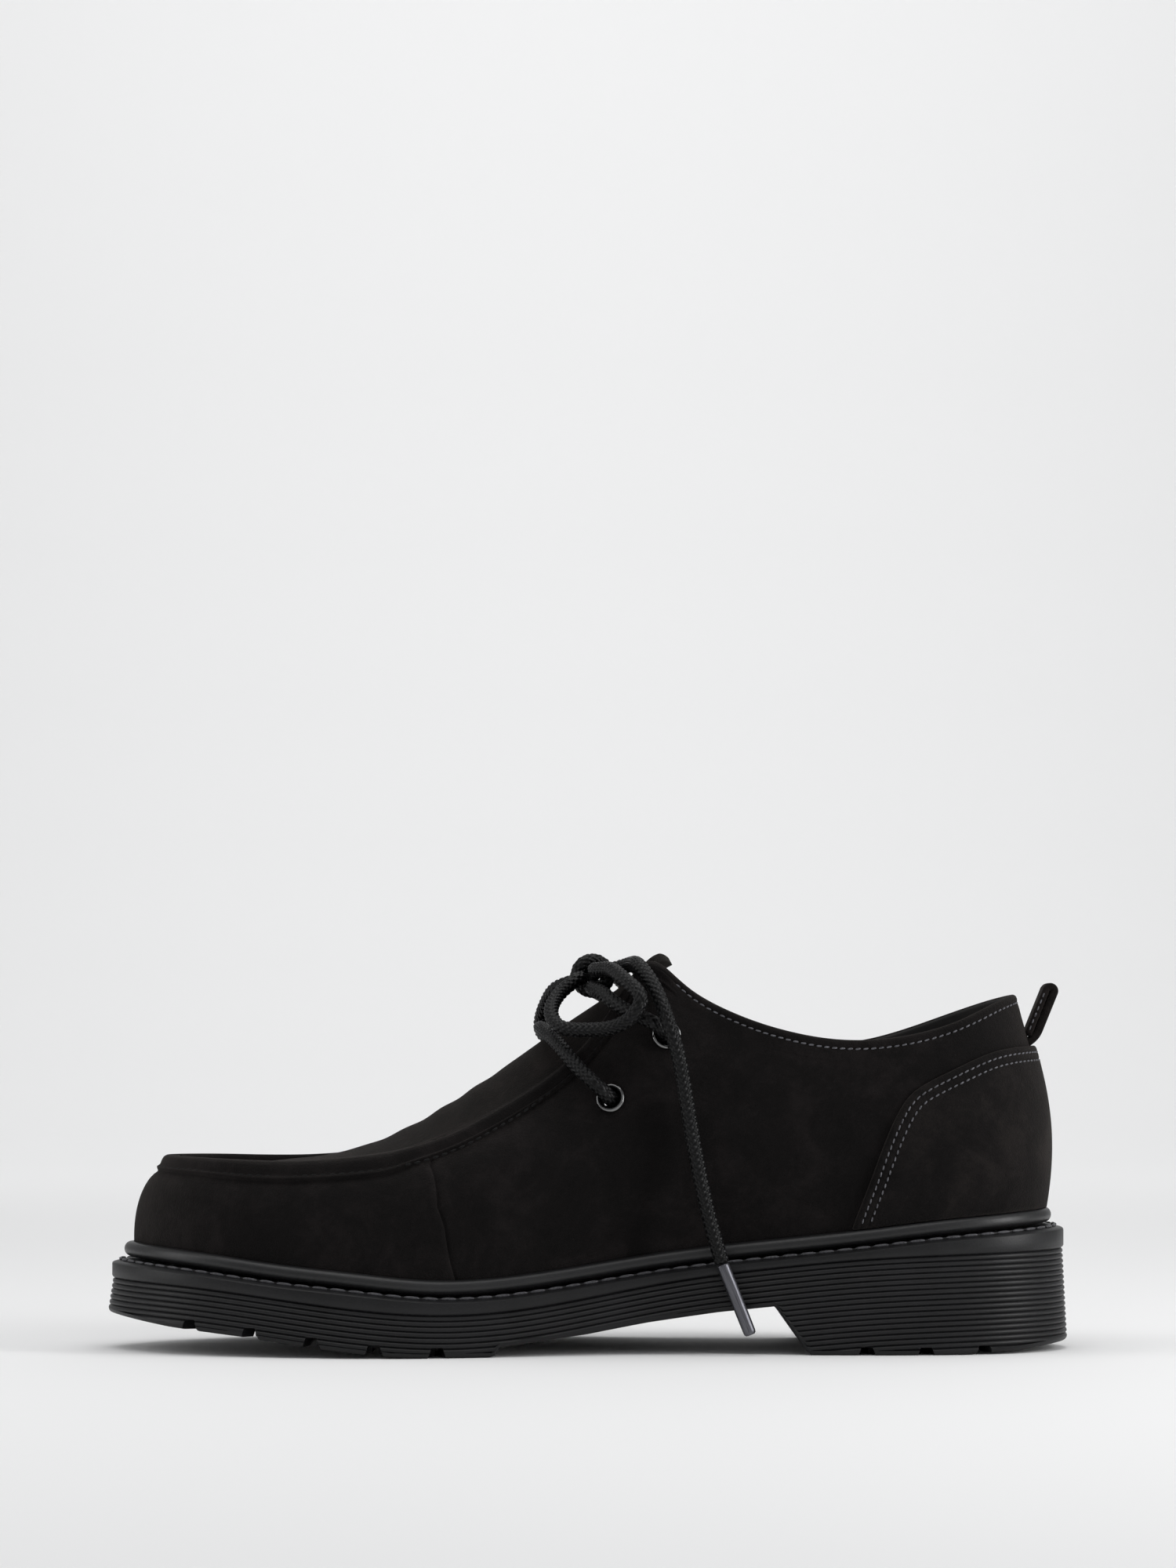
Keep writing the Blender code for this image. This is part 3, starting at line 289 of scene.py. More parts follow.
UPPER_EDGE = (
    # station, x share, y inner, y outer, height, z inner, z outer, lean, flare inner, flare outer
    (0.000, 0.0550, 0.000, 0.000, HEEL_HEIGHT, 1.000, 1.000, 17, 0.17, 0.17),
    (0.030, 0.0760, 0.146, 0.150, HEEL_HEIGHT, 0.978, 0.984, 12, 0.17, 0.17),
    (0.105, 0.1290, 0.246, 0.250, HEEL_HEIGHT, 0.914, 0.934, 9, 0.13, 0.13),
    (0.205, 0.2130, 0.286, 0.290, HEEL_HEIGHT, 0.870, 0.868, 6, 0.12, 0.10),
    (0.300, 0.2930, 0.284, 0.288, HEEL_HEIGHT, 0.893, 0.878, 8, 0.18, 0.10),
    (0.360, 0.3500, 0.262, 0.266, INSTEP_HEIGHT, 0.870, 0.852, 14, 0.24, 0.10),
    (0.405, 0.3935, 0.231, 0.235, INSTEP_HEIGHT, 0.930, 0.918, 20, 0.27, 0.10),
    (0.435, 0.4160, 0.211, 0.214, INSTEP_HEIGHT, 0.978, 0.976, 24, 0.27, 0.10),
    (0.455, 0.4340, 0.198, 0.201, INSTEP_HEIGHT, 1.000, 1.000, 26, 0.26, 0.10),
    (0.475, 0.4500, 0.193, 0.196, INSTEP_HEIGHT, 0.970, 0.970, 28, 0.24, 0.10),
    (0.500, 0.4690, 0.193, 0.196, INSTEP_HEIGHT, 0.896, 0.896, 30, 0.22, 0.10),
    (0.535, 0.4980, 0.198, 0.203, INSTEP_HEIGHT, 0.796, 0.796, 35, 0.18, 0.10),
    (0.570, 0.5300, 0.216, 0.222, INSTEP_HEIGHT, 0.718, 0.718, 42, 0.14, 0.08),
    (0.620, 0.5830, 0.258, 0.266, INSTEP_HEIGHT, 0.626, 0.626, 52, 0.10, 0.06),
    (0.680, 0.6500, 0.300, 0.310, INSTEP_HEIGHT, 0.538, 0.540, 62, 0.05, 0.05),
    (0.750, 0.7270, 0.316, 0.326, TOE_HEIGHT, 1.019, 1.024, 68, 0.03, 0.03),
    (0.830, 0.8030, 0.293, 0.300, TOE_HEIGHT, 0.987, 0.992, 72, 0.02, 0.02),
    (0.900, 0.8640, 0.236, 0.238, TOE_HEIGHT, 0.992, 0.995, 75, 0.02, 0.02),
    (0.955, 0.9055, 0.143, 0.138, TOE_HEIGHT, 0.997, 0.999, 78, 0.02, 0.02),
    (1.000, 0.9280, 0.010, -0.010, TOE_HEIGHT, 1.000, 1.000, 80, 0.02, 0.02),
)
RIDGE = (
    # station, x share of the length, z share of the instep height
    (0.455, 0.4155, 1.0140),
    (0.475, 0.4400, 0.9800),
    (0.500, 0.4750, 0.9225),
    (0.535, 0.5267, 0.8367),
    (0.570, 0.5683, 0.7633),
    (0.620, 0.6200, 0.6758),
    (0.680, 0.6767, 0.5883),
    (0.750, 0.7417, 0.5190),
    (0.830, 0.8100, 0.4900),
    (0.900, 0.8660, 0.4830),
    (0.955, 0.9085, 0.4840),
    (1.000, 0.9280, 0.4850),
)


# %% Curves through the rows
def smooth_spline(knots, values, period=None):
    """Cubic through the values; closed where a period is given, else with free ends."""
    knots = np.asarray(knots, float)
    values = np.asarray(values, float)
    if values.ndim == 1:
        values = values[:, None]
    if period:
        knots = np.append(knots, knots[0] + period)
        values = np.vstack([values, values[:1]])
    count = len(knots)
    step = np.diff(knots)
    slope = np.diff(values, axis=0) / step[:, None]
    matrix = np.zeros((count, count))
    right = np.zeros((count, values.shape[1]))
    for i in range(1, count - 1):
        matrix[i, i - 1] = step[i]
        matrix[i, i] = 2 * (step[i - 1] + step[i])
        matrix[i, i + 1] = step[i - 1]
        right[i] = 3 * (step[i] * slope[i - 1] + step[i - 1] * slope[i])
    if period:
        matrix[0, 0] = 1
        matrix[0, -1] = -1
        matrix[-1, 0] = 2 * step[-1]
        matrix[-1, 1] = step[-1]
        matrix[-1, -1] = 2 * step[0]
        matrix[-1, -2] = step[0]
        right[-1] = 3 * (step[-1] * slope[0] + step[0] * slope[-1])
    else:
        matrix[0, :2] = (2, 1)
        right[0] = 3 * slope[0]
        matrix[-1, -2:] = (1, 2)
        right[-1] = 3 * slope[-1]
    tangent = np.linalg.solve(matrix, right)

    def read(at):
        at = np.atleast_1d(np.asarray(at, float))
        if period:
            at = knots[0] + np.mod(at - knots[0], period)
        i = np.clip(np.searchsorted(knots, at, side="right") - 1, 0, count - 2)
        h = step[i][:, None]
        u = (at - knots[i])[:, None] / h
        low = (1 + 2 * u) * (1 - u) ** 2 * values[i] + u * (1 - u) ** 2 * h * tangent[i]
        high = u * u * (3 - 2 * u) * values[i + 1] + u * u * (u - 1) * h * tangent[i + 1]
        return low + high

    return read


def run_along(points):
    """Length of a line from its first point to each point."""
    return np.concatenate([[0.0], np.cumsum(np.linalg.norm(np.diff(points, axis=0), axis=1))])


def unit(vectors):
    """Rows of vectors, each brought to length one."""
    return vectors / np.maximum(np.linalg.norm(vectors, axis=1), 1e-9)[:, None]


def smooth_step(value, low, high):
    """0 below low, 1 above high and an even S between them."""
    share = np.clip((value - low) / (high - low), 0.0, 1.0)
    return share * share * (3 - 2 * share)


def matched(first, second):
    """Two numbers or rows as float rows of one length."""
    return np.broadcast_arrays(*[np.atleast_1d(np.asarray(row, float)) for row in (first, second)])


def cubic_weights(t):
    """Weights of the four control points of a cubic curve."""
    s = 1 - t
    return np.column_stack([s ** 3, 3 * s * s * t, 3 * s * t * t, t ** 3])


def from_heel(share):
    """The x of a place given as a share of the length from the heel."""
    return LENGTH / 2 - share * LENGTH


def plan_outline():
    """The sole's outline as points and inward normals, for each side against the station."""
    medial = [(from_heel(s), -m * BALL_WIDTH) for s, m, l in SOLE_OUTLINE]
    lateral = [(from_heel(s), l * BALL_WIDTH) for s, m, l in reversed(SOLE_OUTLINE)]
    toe = (from_heel(1.0), TOE_TIP_OFFSET * BALL_WIDTH)
    points = np.array([(from_heel(0.0), 0.0)] + medial + [toe] + lateral)
    chord = np.linalg.norm(np.roll(points, -1, axis=0) - points, axis=1)
    knots = np.concatenate([[0.0], np.cumsum(chord)[:-1]])
    curve = smooth_spline(knots, points, period=chord.sum())
    around = curve(np.linspace(0, chord.sum(), 4001)[:-1])
    around = np.roll(around, -int(np.argmax(around[:, 0])), axis=0)
    tangent = unit(np.roll(around, -1, axis=0) - np.roll(around, 1, axis=0))
    inward = np.stack([-tangent[:, 1], tangent[:, 0]], axis=1)
    inward *= np.sign(np.sum(inward * -around, axis=1).mean())
    toe_at = int(np.argmin(around[:, 0]))
    around = np.vstack([around, around[:1]])
    inward = np.vstack([inward, inward[:1]])
    sides = {}
    for side, part in (("medial", slice(0, toe_at + 1)), ("lateral", slice(toe_at, None))):
        place = around[part]
        normal = inward[part]
        if side == "lateral":
            place = place[::-1]
            normal = normal[::-1]
        arc = run_along(place)
        station = np.maximum.accumulate((place[0, 0] - place[:, 0]) / (place[0, 0] - place[-1, 0]))
        sides[side] = {"place": place, "normal": normal, "arc": arc / arc[-1], "station": station}
    return sides


OUTLINE = plan_outline()
HALF_LOOP = 0.3463
BEAD_TOP = smooth_spline([r[0] for r in SOLE_LINES], [r[1] * HEEL_STACK for r in SOLE_LINES])
FIRST_GROOVE = smooth_spline([r[0] for r in SOLE_LINES], [r[2] * HEEL_STACK for r in SOLE_LINES])
RIDGE_LINE = smooth_spline(
    [r[0] for r in RIDGE], [(from_heel(r[1]), r[2] * INSTEP_HEIGHT) for r in RIDGE]
)


def loop_place(side, station):
    """Place on the loop of a station on one side."""
    arc = np.interp(station, OUTLINE[side]["station"], OUTLINE[side]["arc"])
    return arc if side == "medial" else 2 - arc


def outline_at(u):
    """Outline points, inward normals and stations at places of the loop."""
    u = np.mod(np.atleast_1d(np.asarray(u, float)), 2.0)
    near = u <= 1.0
    arc = np.where(near, u, 2.0 - u)
    read = np.empty((len(u), 5))
    for side, chosen in (("medial", near), ("lateral", ~near)):
        data = OUTLINE[side]
        for k, column in enumerate([*data["place"].T, *data["normal"].T, data["station"]]):
            read[chosen, k] = np.interp(arc[chosen], data["arc"], column)
    return read[:, :2], unit(read[:, 2:4]), read[:, 4]


def edge_spline():
    """The wall's top edge round the loop: x, y, z, lean and flare."""
    knots = []
    values = []
    for side in SIDES:
        medial = side == "medial"
        rows = UPPER_EDGE if medial else UPPER_EDGE[-2:0:-1]
        for station, x, ym, yl, height, zm, zl, lean, fm, fl in rows:
            y = -ym if medial else yl
            z = (zm if medial else zl) * height
            knots.append(float(loop_place(side, station)))
            values.append((from_heel(x), y * BALL_WIDTH, z, math.radians(lean), fm if medial else fl))
    return smooth_spline(knots, values, period=2.0)


EDGE = edge_spline()
WALL_RISE = 0.42
WALL_LEAD = 0.36
LOOK_ROUND = 0.002
LOOK_UP = 0.01


def wall_handles(u):
    """The four control points of the wall's curve at each place of the loop."""
    spot, inward, station = outline_at(u)
    x, y, z, lean, flare = EDGE(np.mod(np.atleast_1d(u), 2.0)).T
    foot = np.column_stack([spot + inward * UPPER_INSET, BEAD_TOP(station)[:, 0] + GAP])
    edge = np.column_stack([x, y, z])
    reach = np.linalg.norm(edge - foot, axis=1)[:, None]
    inward = np.column_stack([inward, np.zeros(len(inward))])
    up = np.array([[0.0, 0.0, 1.0]])
    rise = (up - flare[:, None] * inward) * reach * WALL_RISE
    lead = (up * np.cos(lean)[:, None] + inward * np.sin(lean)[:, None]) * reach * WALL_LEAD
    return np.stack([foot, foot + rise, edge - lead, edge], axis=1)


def wall_points(u, t):
    """Points on the outer face of the side wall, t from 0 at the bead to 1 at the edge."""
    u, t = matched(u, t)
    return np.einsum("nk,nkd->nd", cubic_weights(t), wall_handles(u))


def wall_normals(u, t):
    """Outward unit normals of the side wall."""
    u, t = matched(u, t)
    along = wall_points(u + LOOK_ROUND, t) - wall_points(u - LOOK_ROUND, t)
    up = wall_points(u, np.minimum(1.0, t + LOOK_UP)) - wall_points(u, np.maximum(0.0, t - LOOK_UP))
    return unit(np.cross(up, along))


def share_below(u, distance):
    """Share of the wall's height at a distance down from its edge."""
    u, distance = matched(u, distance)
    ts = np.linspace(1.0, 0.25, 61)
    points = np.einsum("tk,nkd->ntd", cubic_weights(ts), wall_handles(u))
    run = np.linalg.norm(np.diff(points, axis=1), axis=2).cumsum(axis=1)
    run = np.concatenate([np.zeros((len(u), 1)), run], axis=1)
    return np.array([np.interp(d, r, ts) for d, r in zip(distance, run)])


def share_at(u, z):
    """Share of the wall's height at a height above the floor."""
    u, z = matched(u, z)
    ts = np.linspace(0.0, 1.0, 61)
    heights = wall_handles(u)[:, :, 2] @ cubic_weights(ts).T
    return np.array([np.interp(h, row, ts) for h, row in zip(z, heights)])


print("edge of the collar at the heel:", (wall_points(0.0, 1.0)[0] * 1000).round(1), "mm")

# %% [markdown]
# ## Soft creases
#
# Leather that is pulled over a last never lies as smooth as a computed surface. Each crease here is
# placed on the side view or the top view, in metres: a soft trough with a lower ridge beside
# it. Sculpting would do as well, but a written list can be read, checked and changed.

# %% Creases placed one by one
SIDE_CREASES = (
    # x, z, direction in degrees, half length, half width, depth
    (-0.034, 0.046, 66, 0.014, 0.0030, 0.00040),
    (-0.024, 0.050, 58, 0.016, 0.0034, 0.00034),
    (-0.014, 0.040, 52, 0.014, 0.0040, 0.00030),
    (0.000, 0.066, 40, 0.016, 0.0045, 0.00036),
    (0.016, 0.072, 62, 0.018, 0.0042, 0.00030),
    (0.030, 0.058, 76, 0.022, 0.0070, 0.00050),
    (0.046, 0.076, -28, 0.018, 0.0050, 0.00032),
    (0.062, 0.062, 84, 0.020, 0.0060, 0.00034),
    (0.074, 0.086, -12, 0.018, 0.0045, 0.00030),
    (0.104, 0.062, 64, 0.014, 0.0050, 0.00028),
    (-0.066, 0.038, 82, 0.012, 0.0050, 0.00034),
    (-0.092, 0.044, 96, 0.010, 0.0050, 0.00030),
    (-0.112, 0.046, 112, 0.010, 0.0045, 0.00026),
)
TOP_CREASES = (
    # x, y, direction in degrees, half length, half width, depth
    (-0.030, -0.004, 96, 0.016, 0.0032, 0.00036),
    (-0.040, 0.003, 86, 0.020, 0.0034, 0.00046),
    (-0.051, -0.002, 94, 0.020, 0.0036, 0.00040),
    (-0.063, 0.004, 82, 0.016, 0.0038, 0.00028),
    (-0.088, -0.010, 60, 0.012, 0.0050, 0.00026),
    (-0.104, 0.008, 118, 0.012, 0.0050, 0.00026),
)
RIDGE_SHARE = 0.45
RIDGE_OFFSET = 1.9
CREASE_FADE = 4


def relief(first, second, creases):
    """Sum of the creases at points of a view's plane, troughs negative."""
    total = np.zeros(len(first))
    for x, z, turn, length, width, depth in creases:
        angle = math.radians(turn)
        along = (first - x) * math.cos(angle) + (second - z) * math.sin(angle)
        across = -(first - x) * math.sin(angle) + (second - z) * math.cos(angle)
        fade = np.exp(-((along / length) ** 4))
        trough = np.exp(-((across / width) ** 2))
        ridge = np.exp(-((across / width - RIDGE_OFFSET) ** 2))
        total += depth * fade * (RIDGE_SHARE * ridge - trough)
    return total


def side_relief(points, t):
    """The side view's creases at points of the wall, fading out in the quarter above the bead."""
    return relief(points[:, 0], points[:, 2], SIDE_CREASES) * np.clip(np.atleast_1d(t) * CREASE_FADE, 0, 1)


# %% Mesh helpers
def grid_piece(name, points, close_u=False, close_v=False, sizes=(1.0, 1.0)):
    """Lays a grid primitive on rows of points; closed ways are welded. The UV map is in metres."""
    points = np.asarray(points, float)
    if close_u:
        points = np.concatenate([points, points[:1]], axis=0)
    if close_v:
        points = np.concatenate([points, points[:, :1]], axis=1)
    rows, columns = points.shape[:2]
    deselect()
    bpy.ops.mesh.primitive_grid_add(x_subdivisions=columns - 1, y_subdivisions=rows - 1, calc_uvs=True)
    piece = bpy.context.object
    piece.name = name
    piece.data.name = name
    if len(piece.data.vertices) != rows * columns:
        raise ValueError(f"{name}: the grid has {len(piece.data.vertices)} points, not {rows * columns}")
    piece.data.vertices.foreach_set("co", points.reshape(-1))
    layer = piece.data.uv_layers[0]
    spread = np.empty(len(layer.data) * 2)
    layer.data.foreach_get("uv", spread)
    spread = spread.reshape(-1, 2) * np.array([[sizes[0], sizes[1]]])
    layer.data.foreach_set("uv", spread.reshape(-1))
    piece.data.update()
    return piece


def mesh_piece(name, points, faces):
    """Makes a piece from lists of points and faces."""
    mesh = bpy.data.meshes.new(name)
    mesh.from_pydata(points, [], faces)
    piece = bpy.data.objects.new(name, mesh)
    bpy.context.scene.collection.objects.link(piece)
    return piece


def pick(*pieces):
    """Selects these pieces alone and makes the first one active."""
    deselect()
    for piece in pieces:
        piece.select_set(True)
    bpy.context.view_layer.objects.active = pieces[0]


def weld(piece, distance=0.00001):
    """Merges doubles and turns all faces outwards."""
    pick(piece)
    bpy.ops.object.mode_set(mode="EDIT")
    bpy.ops.mesh.select_all(action="SELECT")
    bpy.ops.mesh.remove_doubles(threshold=distance)
    bpy.ops.mesh.dissolve_degenerate(threshold=distance / 2)
    bpy.ops.mesh.select_all(action="SELECT")
    bpy.ops.mesh.normals_make_consistent(inside=False)
    bpy.ops.object.mode_set(mode="OBJECT")
    bpy.ops.object.shade_smooth()
    return piece


def apply_modifiers(piece):
    """Applies a piece's modifiers from first to last."""
    pick(piece)
    for modifier in list(piece.modifiers):
        bpy.ops.object.modifier_apply(modifier=modifier.name)


def cut_away(piece, cutter, overlapping=False):
    """Takes a cutter out of a piece with a boolean, then removes the cutter."""
    cut = piece.modifiers.new("Cut", "BOOLEAN")
    cut.operation = "DIFFERENCE"
    cut.solver = "EXACT"
    cut.use_self = overlapping
    cut.object = cutter
    apply_modifiers(piece)
    bpy.data.objects.remove(cutter, do_unlink=True)


def thicken_down(piece, thickness):
    """Turns an open sheet's faces up and adds a modifier that gives it its thickness below."""
    if sum(p.normal.z * p.area for p in piece.data.polygons) < 0:
        piece.data.flip_normals()
    wall = piece.modifiers.new("Thickness", "SOLIDIFY")
    wall.thickness = thickness
    wall.offset = -1.0


def finish_piece(piece, material, slot, *nodes):
    """Gives a piece its material and its body, and hides the solids that it stands for."""
    if material is not None:
        piece.data.materials.clear()
        piece.data.materials.append(material)
    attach(piece, "root")
    if nodes:
        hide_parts(*nodes)
    triangles = sum(len(p.vertices) - 2 for p in piece.data.polygons)
    print(f"{piece.name}: {triangles} triangles")
    return piece


# %% [markdown]
# ## Nubuck
#
# Nubuck is cattle hide, drum dyed and sanded on its grain side. The sanding raises a nap of fibres
# about 0.1 mm long, so there is no gloss: light catches the fibre tips as a soft bloom towards grazing
# angles, and patches where the nap lies another way look a shade lighter or darker. A sheen layer
# gives the bloom, slow noise the patches, and a fine noise the nap, drawn at 0.4 mm so that it shows.


# %% Nubuck material
def nubuck_material(name, dark, middle, light, sheen=0.10):
    """Sanded hide: slow patches, brush strokes and a fine nap."""
    material, tree, shader = start_material(name, {
        "Roughness": 0.92,
        "IOR": 1.5,
        "Specular IOR Level": 0.12,
        "Sheen Weight": sheen,
        "Sheen Roughness": 0.45,
        "Sheen Tint": linear("#cfc4bc"),
    })
    where = {"Vector": add_node(tree, "ShaderNodeTexCoord").outputs["Object"]}
    patches = add_node(
        tree, "ShaderNodeTexNoise", None,
        {"Scale": 55.0, "Detail": 4.0, "Roughness": 0.62, "Distortion": 0.6}, where,
    )
    nap = add_node(
        tree, "ShaderNodeTexNoise", None, {"Scale": 2300.0, "Detail": 2.0, "Roughness": 0.7}, where
    )
    strokes = add_node(
        tree, "ShaderNodeTexNoise", None,
        {"Scale": 420.0, "Detail": 3.0, "Roughness": 0.6, "Distortion": 0.4}, where,
    )
    lift = add_node(
        tree, "ShaderNodeMath", {"operation": "MULTIPLY_ADD"}, {1: 0.34},
        {0: nap.outputs["Fac"], 2: patches.outputs["Fac"]},
    )
    streak = add_node(
        tree, "ShaderNodeMath", {"operation": "MULTIPLY_ADD"}, {1: 0.30},
        {0: strokes.outputs["Fac"], 2: lift.outputs["Value"]},
    )
    tone = add_node(tree, "ShaderNodeValToRGB", None, None, {"Fac": streak.outputs["Value"]})
    set_stops(tone, ((0.58, dark), (0.80, middle), (1.05, light)))
    tree.links.new(tone.outputs["Color"], shader.inputs["Base Color"])
    height = add_node(
        tree, "ShaderNodeMath", {"operation": "MULTIPLY_ADD"}, {1: 0.6},
        {0: strokes.outputs["Fac"], 2: nap.outputs["Fac"]},
    )
    bump = add_node(
        tree, "ShaderNodeBump", None, {"Strength": 0.8, "Distance": 0.0004},
        {"Height": height.outputs["Value"]},
    )
    tree.links.new(bump.outputs["Normal"], shader.inputs["Normal"])
    return material


NUBUCK = nubuck_material("drum_dyed_nubuck", "#080707", "#0e0c0c", "#181515")
NUBUCK_COUNTER = nubuck_material("drum_dyed_nubuck_heel", "#080707", "#100e0e", "#1c1918")
NUBUCK_APRON = nubuck_material("drum_dyed_nubuck_apron", "#070606", "#0f0d0c", "#1b1716", 0.09)

# %% [markdown]
# ## Lining, rubber and thread
#
# The lining is smooth glove leather, dyed through, with a faint pebble. The sole is moulded rubber:
# the mould leaves it satin, with a fine pitted skin and a little pale dust that settles in it. The
# thread is bonded polyester, two plies twisted, so it has a soft gloss along each stitch.


# %% Lining, rubber and thread materials
def lining_material():
    """Smooth glove leather with a faint pebble."""
    material, tree, shader = start_material("glove_leather_lining", {"Roughness": 0.72, "IOR": 1.5})
    where = {"Vector": add_node(tree, "ShaderNodeTexCoord").outputs["Object"]}
    cells = add_node(tree, "ShaderNodeTexVoronoi", {"feature": "DISTANCE_TO_EDGE"}, {"Scale": 900.0}, where)
    shade = add_node(tree, "ShaderNodeTexNoise", None, {"Scale": 120.0, "Detail": 3.0}, where)
    tone = add_node(tree, "ShaderNodeValToRGB", None, None, {"Fac": shade.outputs["Fac"]})
    set_stops(tone, ((0.35, "#121110"), (0.70, "#1d1b1a")))
    tree.links.new(tone.outputs["Color"], shader.inputs["Base Color"])
    bump = add_node(
        tree, "ShaderNodeBump", None, {"Strength": 0.35, "Distance": 0.0002},
        {"Height": cells.outputs["Distance"]},
    )
    tree.links.new(bump.outputs["Normal"], shader.inputs["Normal"])
    return material


def rubber_material(name, dark, light, roughness, shine):
    """Moulded rubber with a pitted skin and settled dust."""
    material, tree, shader = start_material(name, {
        "Roughness": roughness, "IOR": 1.52, "Specular IOR Level": shine,
    })
    where = {"Vector": add_node(tree, "ShaderNodeTexCoord").outputs["Object"]}
    pits = add_node(
        tree, "ShaderNodeTexNoise", None, {"Scale": 1500.0, "Detail": 3.0, "Roughness": 0.7}, where
    )
    cloud = add_node(tree, "ShaderNodeTexNoise", None, {"Scale": 70.0, "Detail": 3.0}, where)
    mixed = add_node(
        tree, "ShaderNodeMath", {"operation": "MULTIPLY_ADD"}, {1: 0.5},
        {0: pits.outputs["Fac"], 2: cloud.outputs["Fac"]},
    )
    tone = add_node(tree, "ShaderNodeValToRGB", None, None, {"Fac": mixed.outputs["Value"]})
    set_stops(tone, ((0.50, dark), (1.0, light)))
    tree.links.new(tone.outputs["Color"], shader.inputs["Base Color"])
    gloss = add_node(
        tree, "ShaderNodeMapRange", None, {"To Min": roughness - 0.08, "To Max": roughness + 0.12},
        {"Value": pits.outputs["Fac"]},
    )
    tree.links.new(gloss.outputs["Result"], shader.inputs["Roughness"])
    bump = add_node(
        tree, "ShaderNodeBump", None, {"Strength": 0.35, "Distance": 0.00015},
        {"Height": pits.outputs["Fac"]},
    )
    tree.links.new(bump.outputs["Normal"], shader.inputs["Normal"])
    return material


def thread_material(name, dark, light, roughness=0.5):
    """Twisted thread, a little fibrous."""
    material, tree, shader = start_material(name, {
        "Roughness": roughness, "IOR": 1.5, "Specular IOR Level": 0.25,
        "Sheen Weight": 0.06, "Sheen Roughness": 0.4,
    })
    where = {"Vector": add_node(tree, "ShaderNodeTexCoord").outputs["Object"]}
    fibre = add_node(tree, "ShaderNodeTexNoise", None, {"Scale": 1800.0, "Detail": 2.0}, where)
    tone = add_node(tree, "ShaderNodeValToRGB", None, None, {"Fac": fibre.outputs["Fac"]})
    set_stops(tone, ((0.30, dark), (0.70, light)))
    tree.links.new(tone.outputs["Color"], shader.inputs["Base Color"])
    return material


LINING = lining_material()
RUBBER = rubber_material("moulded_rubber_satin", "#0a0a0b", "#141416", 0.42, 0.30)
RUBBER_BEAD = rubber_material("moulded_rubber_bead", "#101011", "#1b1b1c", 0.38, 0.42)
THREAD_GREY = thread_material("bonded_thread_grey", "#3d3d41", "#6b6b70")
THREAD_BLACK = thread_material("bonded_thread_black", "#020202", "#0a0a0a", 0.85)
THREAD_WELT = thread_material("waxed_thread_charcoal", "#303033", "#545457", 0.4)

# %% [markdown]
# ## Side wall with its rolled seam
#
# The side wall is one band of nubuck from the heel round the toe and back. At the collar its edge is
# turned over and stitched. From the facing forward it is gathered over a cord with the apron's edge,
# which makes the raised roll with a narrow stitched flange under it. A grid primitive is laid over the
# last: down the outside, over the rim and down the lining side, so that the wall is one closed band.

# %% Profiles of the rolled seam and the collar
STRIP_WIDTHS = (
    # station, width of the roll with its flange
    (0.000, 0.0065),
    (0.430, 0.0065),
    (0.540, 0.0062),
    (0.575, 0.0066),
    (0.610, 0.0080),
    (0.660, 0.0091),
    (0.730, 0.0091),
    (0.800, 0.0083),
    (0.870, 0.0078),
    (0.930, 0.0068),
    (1.000, 0.0066),
)
ROLL_PROFILE = (
    # share of the strip's width below the edge, lift in roll heights
    (0.00, 0.10),
    (0.06, 0.36),
    (0.14, 0.68),
    (0.24, 0.91),
    (0.36, 1.00),
    (0.50, 0.95),
    (0.62, 0.76),
    (0.72, 0.53),
    (0.79, 0.39),
    (0.84, 0.35),
    (0.90, 0.40),
    (0.95, 0.40),
    (0.985, 0.33),
    (1.01, 0.12),
    (1.04, -0.06),
    (1.12, -0.10),
    (1.30, -0.04),
    (1.60, 0.00),
)
COLLAR_PROFILE = (
    # the same along the collar: a padded edge, with a stitch channel at 0.44
    (0.00, 0.00),
    (0.12, 0.12),
    (0.26, 0.15),
    (0.38, 0.08),
    (0.42, -0.03),
    (0.46, -0.03),
    (0.50, 0.07),
    (0.70, 0.08),
    (1.10, 0.03),
    (1.60, 0.00),
)
STITCH_SHARE_ROLL = 0.84
STITCH_SHARE_COLLAR = 0.44


def strip_width(station):
    """Width of the roll, or of the collar's turned edge, at a station."""
    return np.interp(station, *zip(*STRIP_WIDTHS))


def roll_share(station):
    """1 along the facing and the seam, 0 along the collar."""
    return np.clip((station - (CORNER - ROLL_FADE)) / ROLL_FADE, 0.0, 1.0)


def edge_lift(station, share):
    """How far the surface stands off the wall at a share of the strip's width below the edge."""
    roll = np.interp(share, *zip(*ROLL_PROFILE)) * ROLL_HEIGHT
    collar = np.interp(share, *zip(*COLLAR_PROFILE)) * ROLL_HEIGHT
    blend = roll_share(station)
    return roll * blend + collar * (1 - blend)


# %% The vamp seam on each side
SEAM_STATIONS = ((1.00, 0.690), (0.77, 0.6862), (0.405, 0.6629), (0.27, 0.6483), (0.0, 0.6279))
SEAM_GROOVE = 0.00055
SEAM_HALF = 0.0007
SEAM_REACH = 0.10
SEAM_BASE = {side: float(loop_place(side, SEAM_STATIONS[-1][1])) for side in SIDES}
SEAM_OFFSETS = (-0.0040, -0.0024, -0.0014, -0.0007, 0.0, 0.0007, 0.0014, 0.0024, 0.0040)
SEAM_CLEARING = 0.0052
VAMP_STEP = 0.00035
VAMP_STEP_REACH = 0.006


def seam_shift(side, u, t):
    """Leans the wall's columns near the vamp seam, so that one column runs along it."""
    station = np.interp(t, *zip(*SEAM_STATIONS[::-1]))
    fade = smooth_step(1 - np.abs(u - SEAM_BASE[side]) / SEAM_REACH, 0.0, 1.0)
    return (loop_place(side, station) - SEAM_BASE[side]) * fade


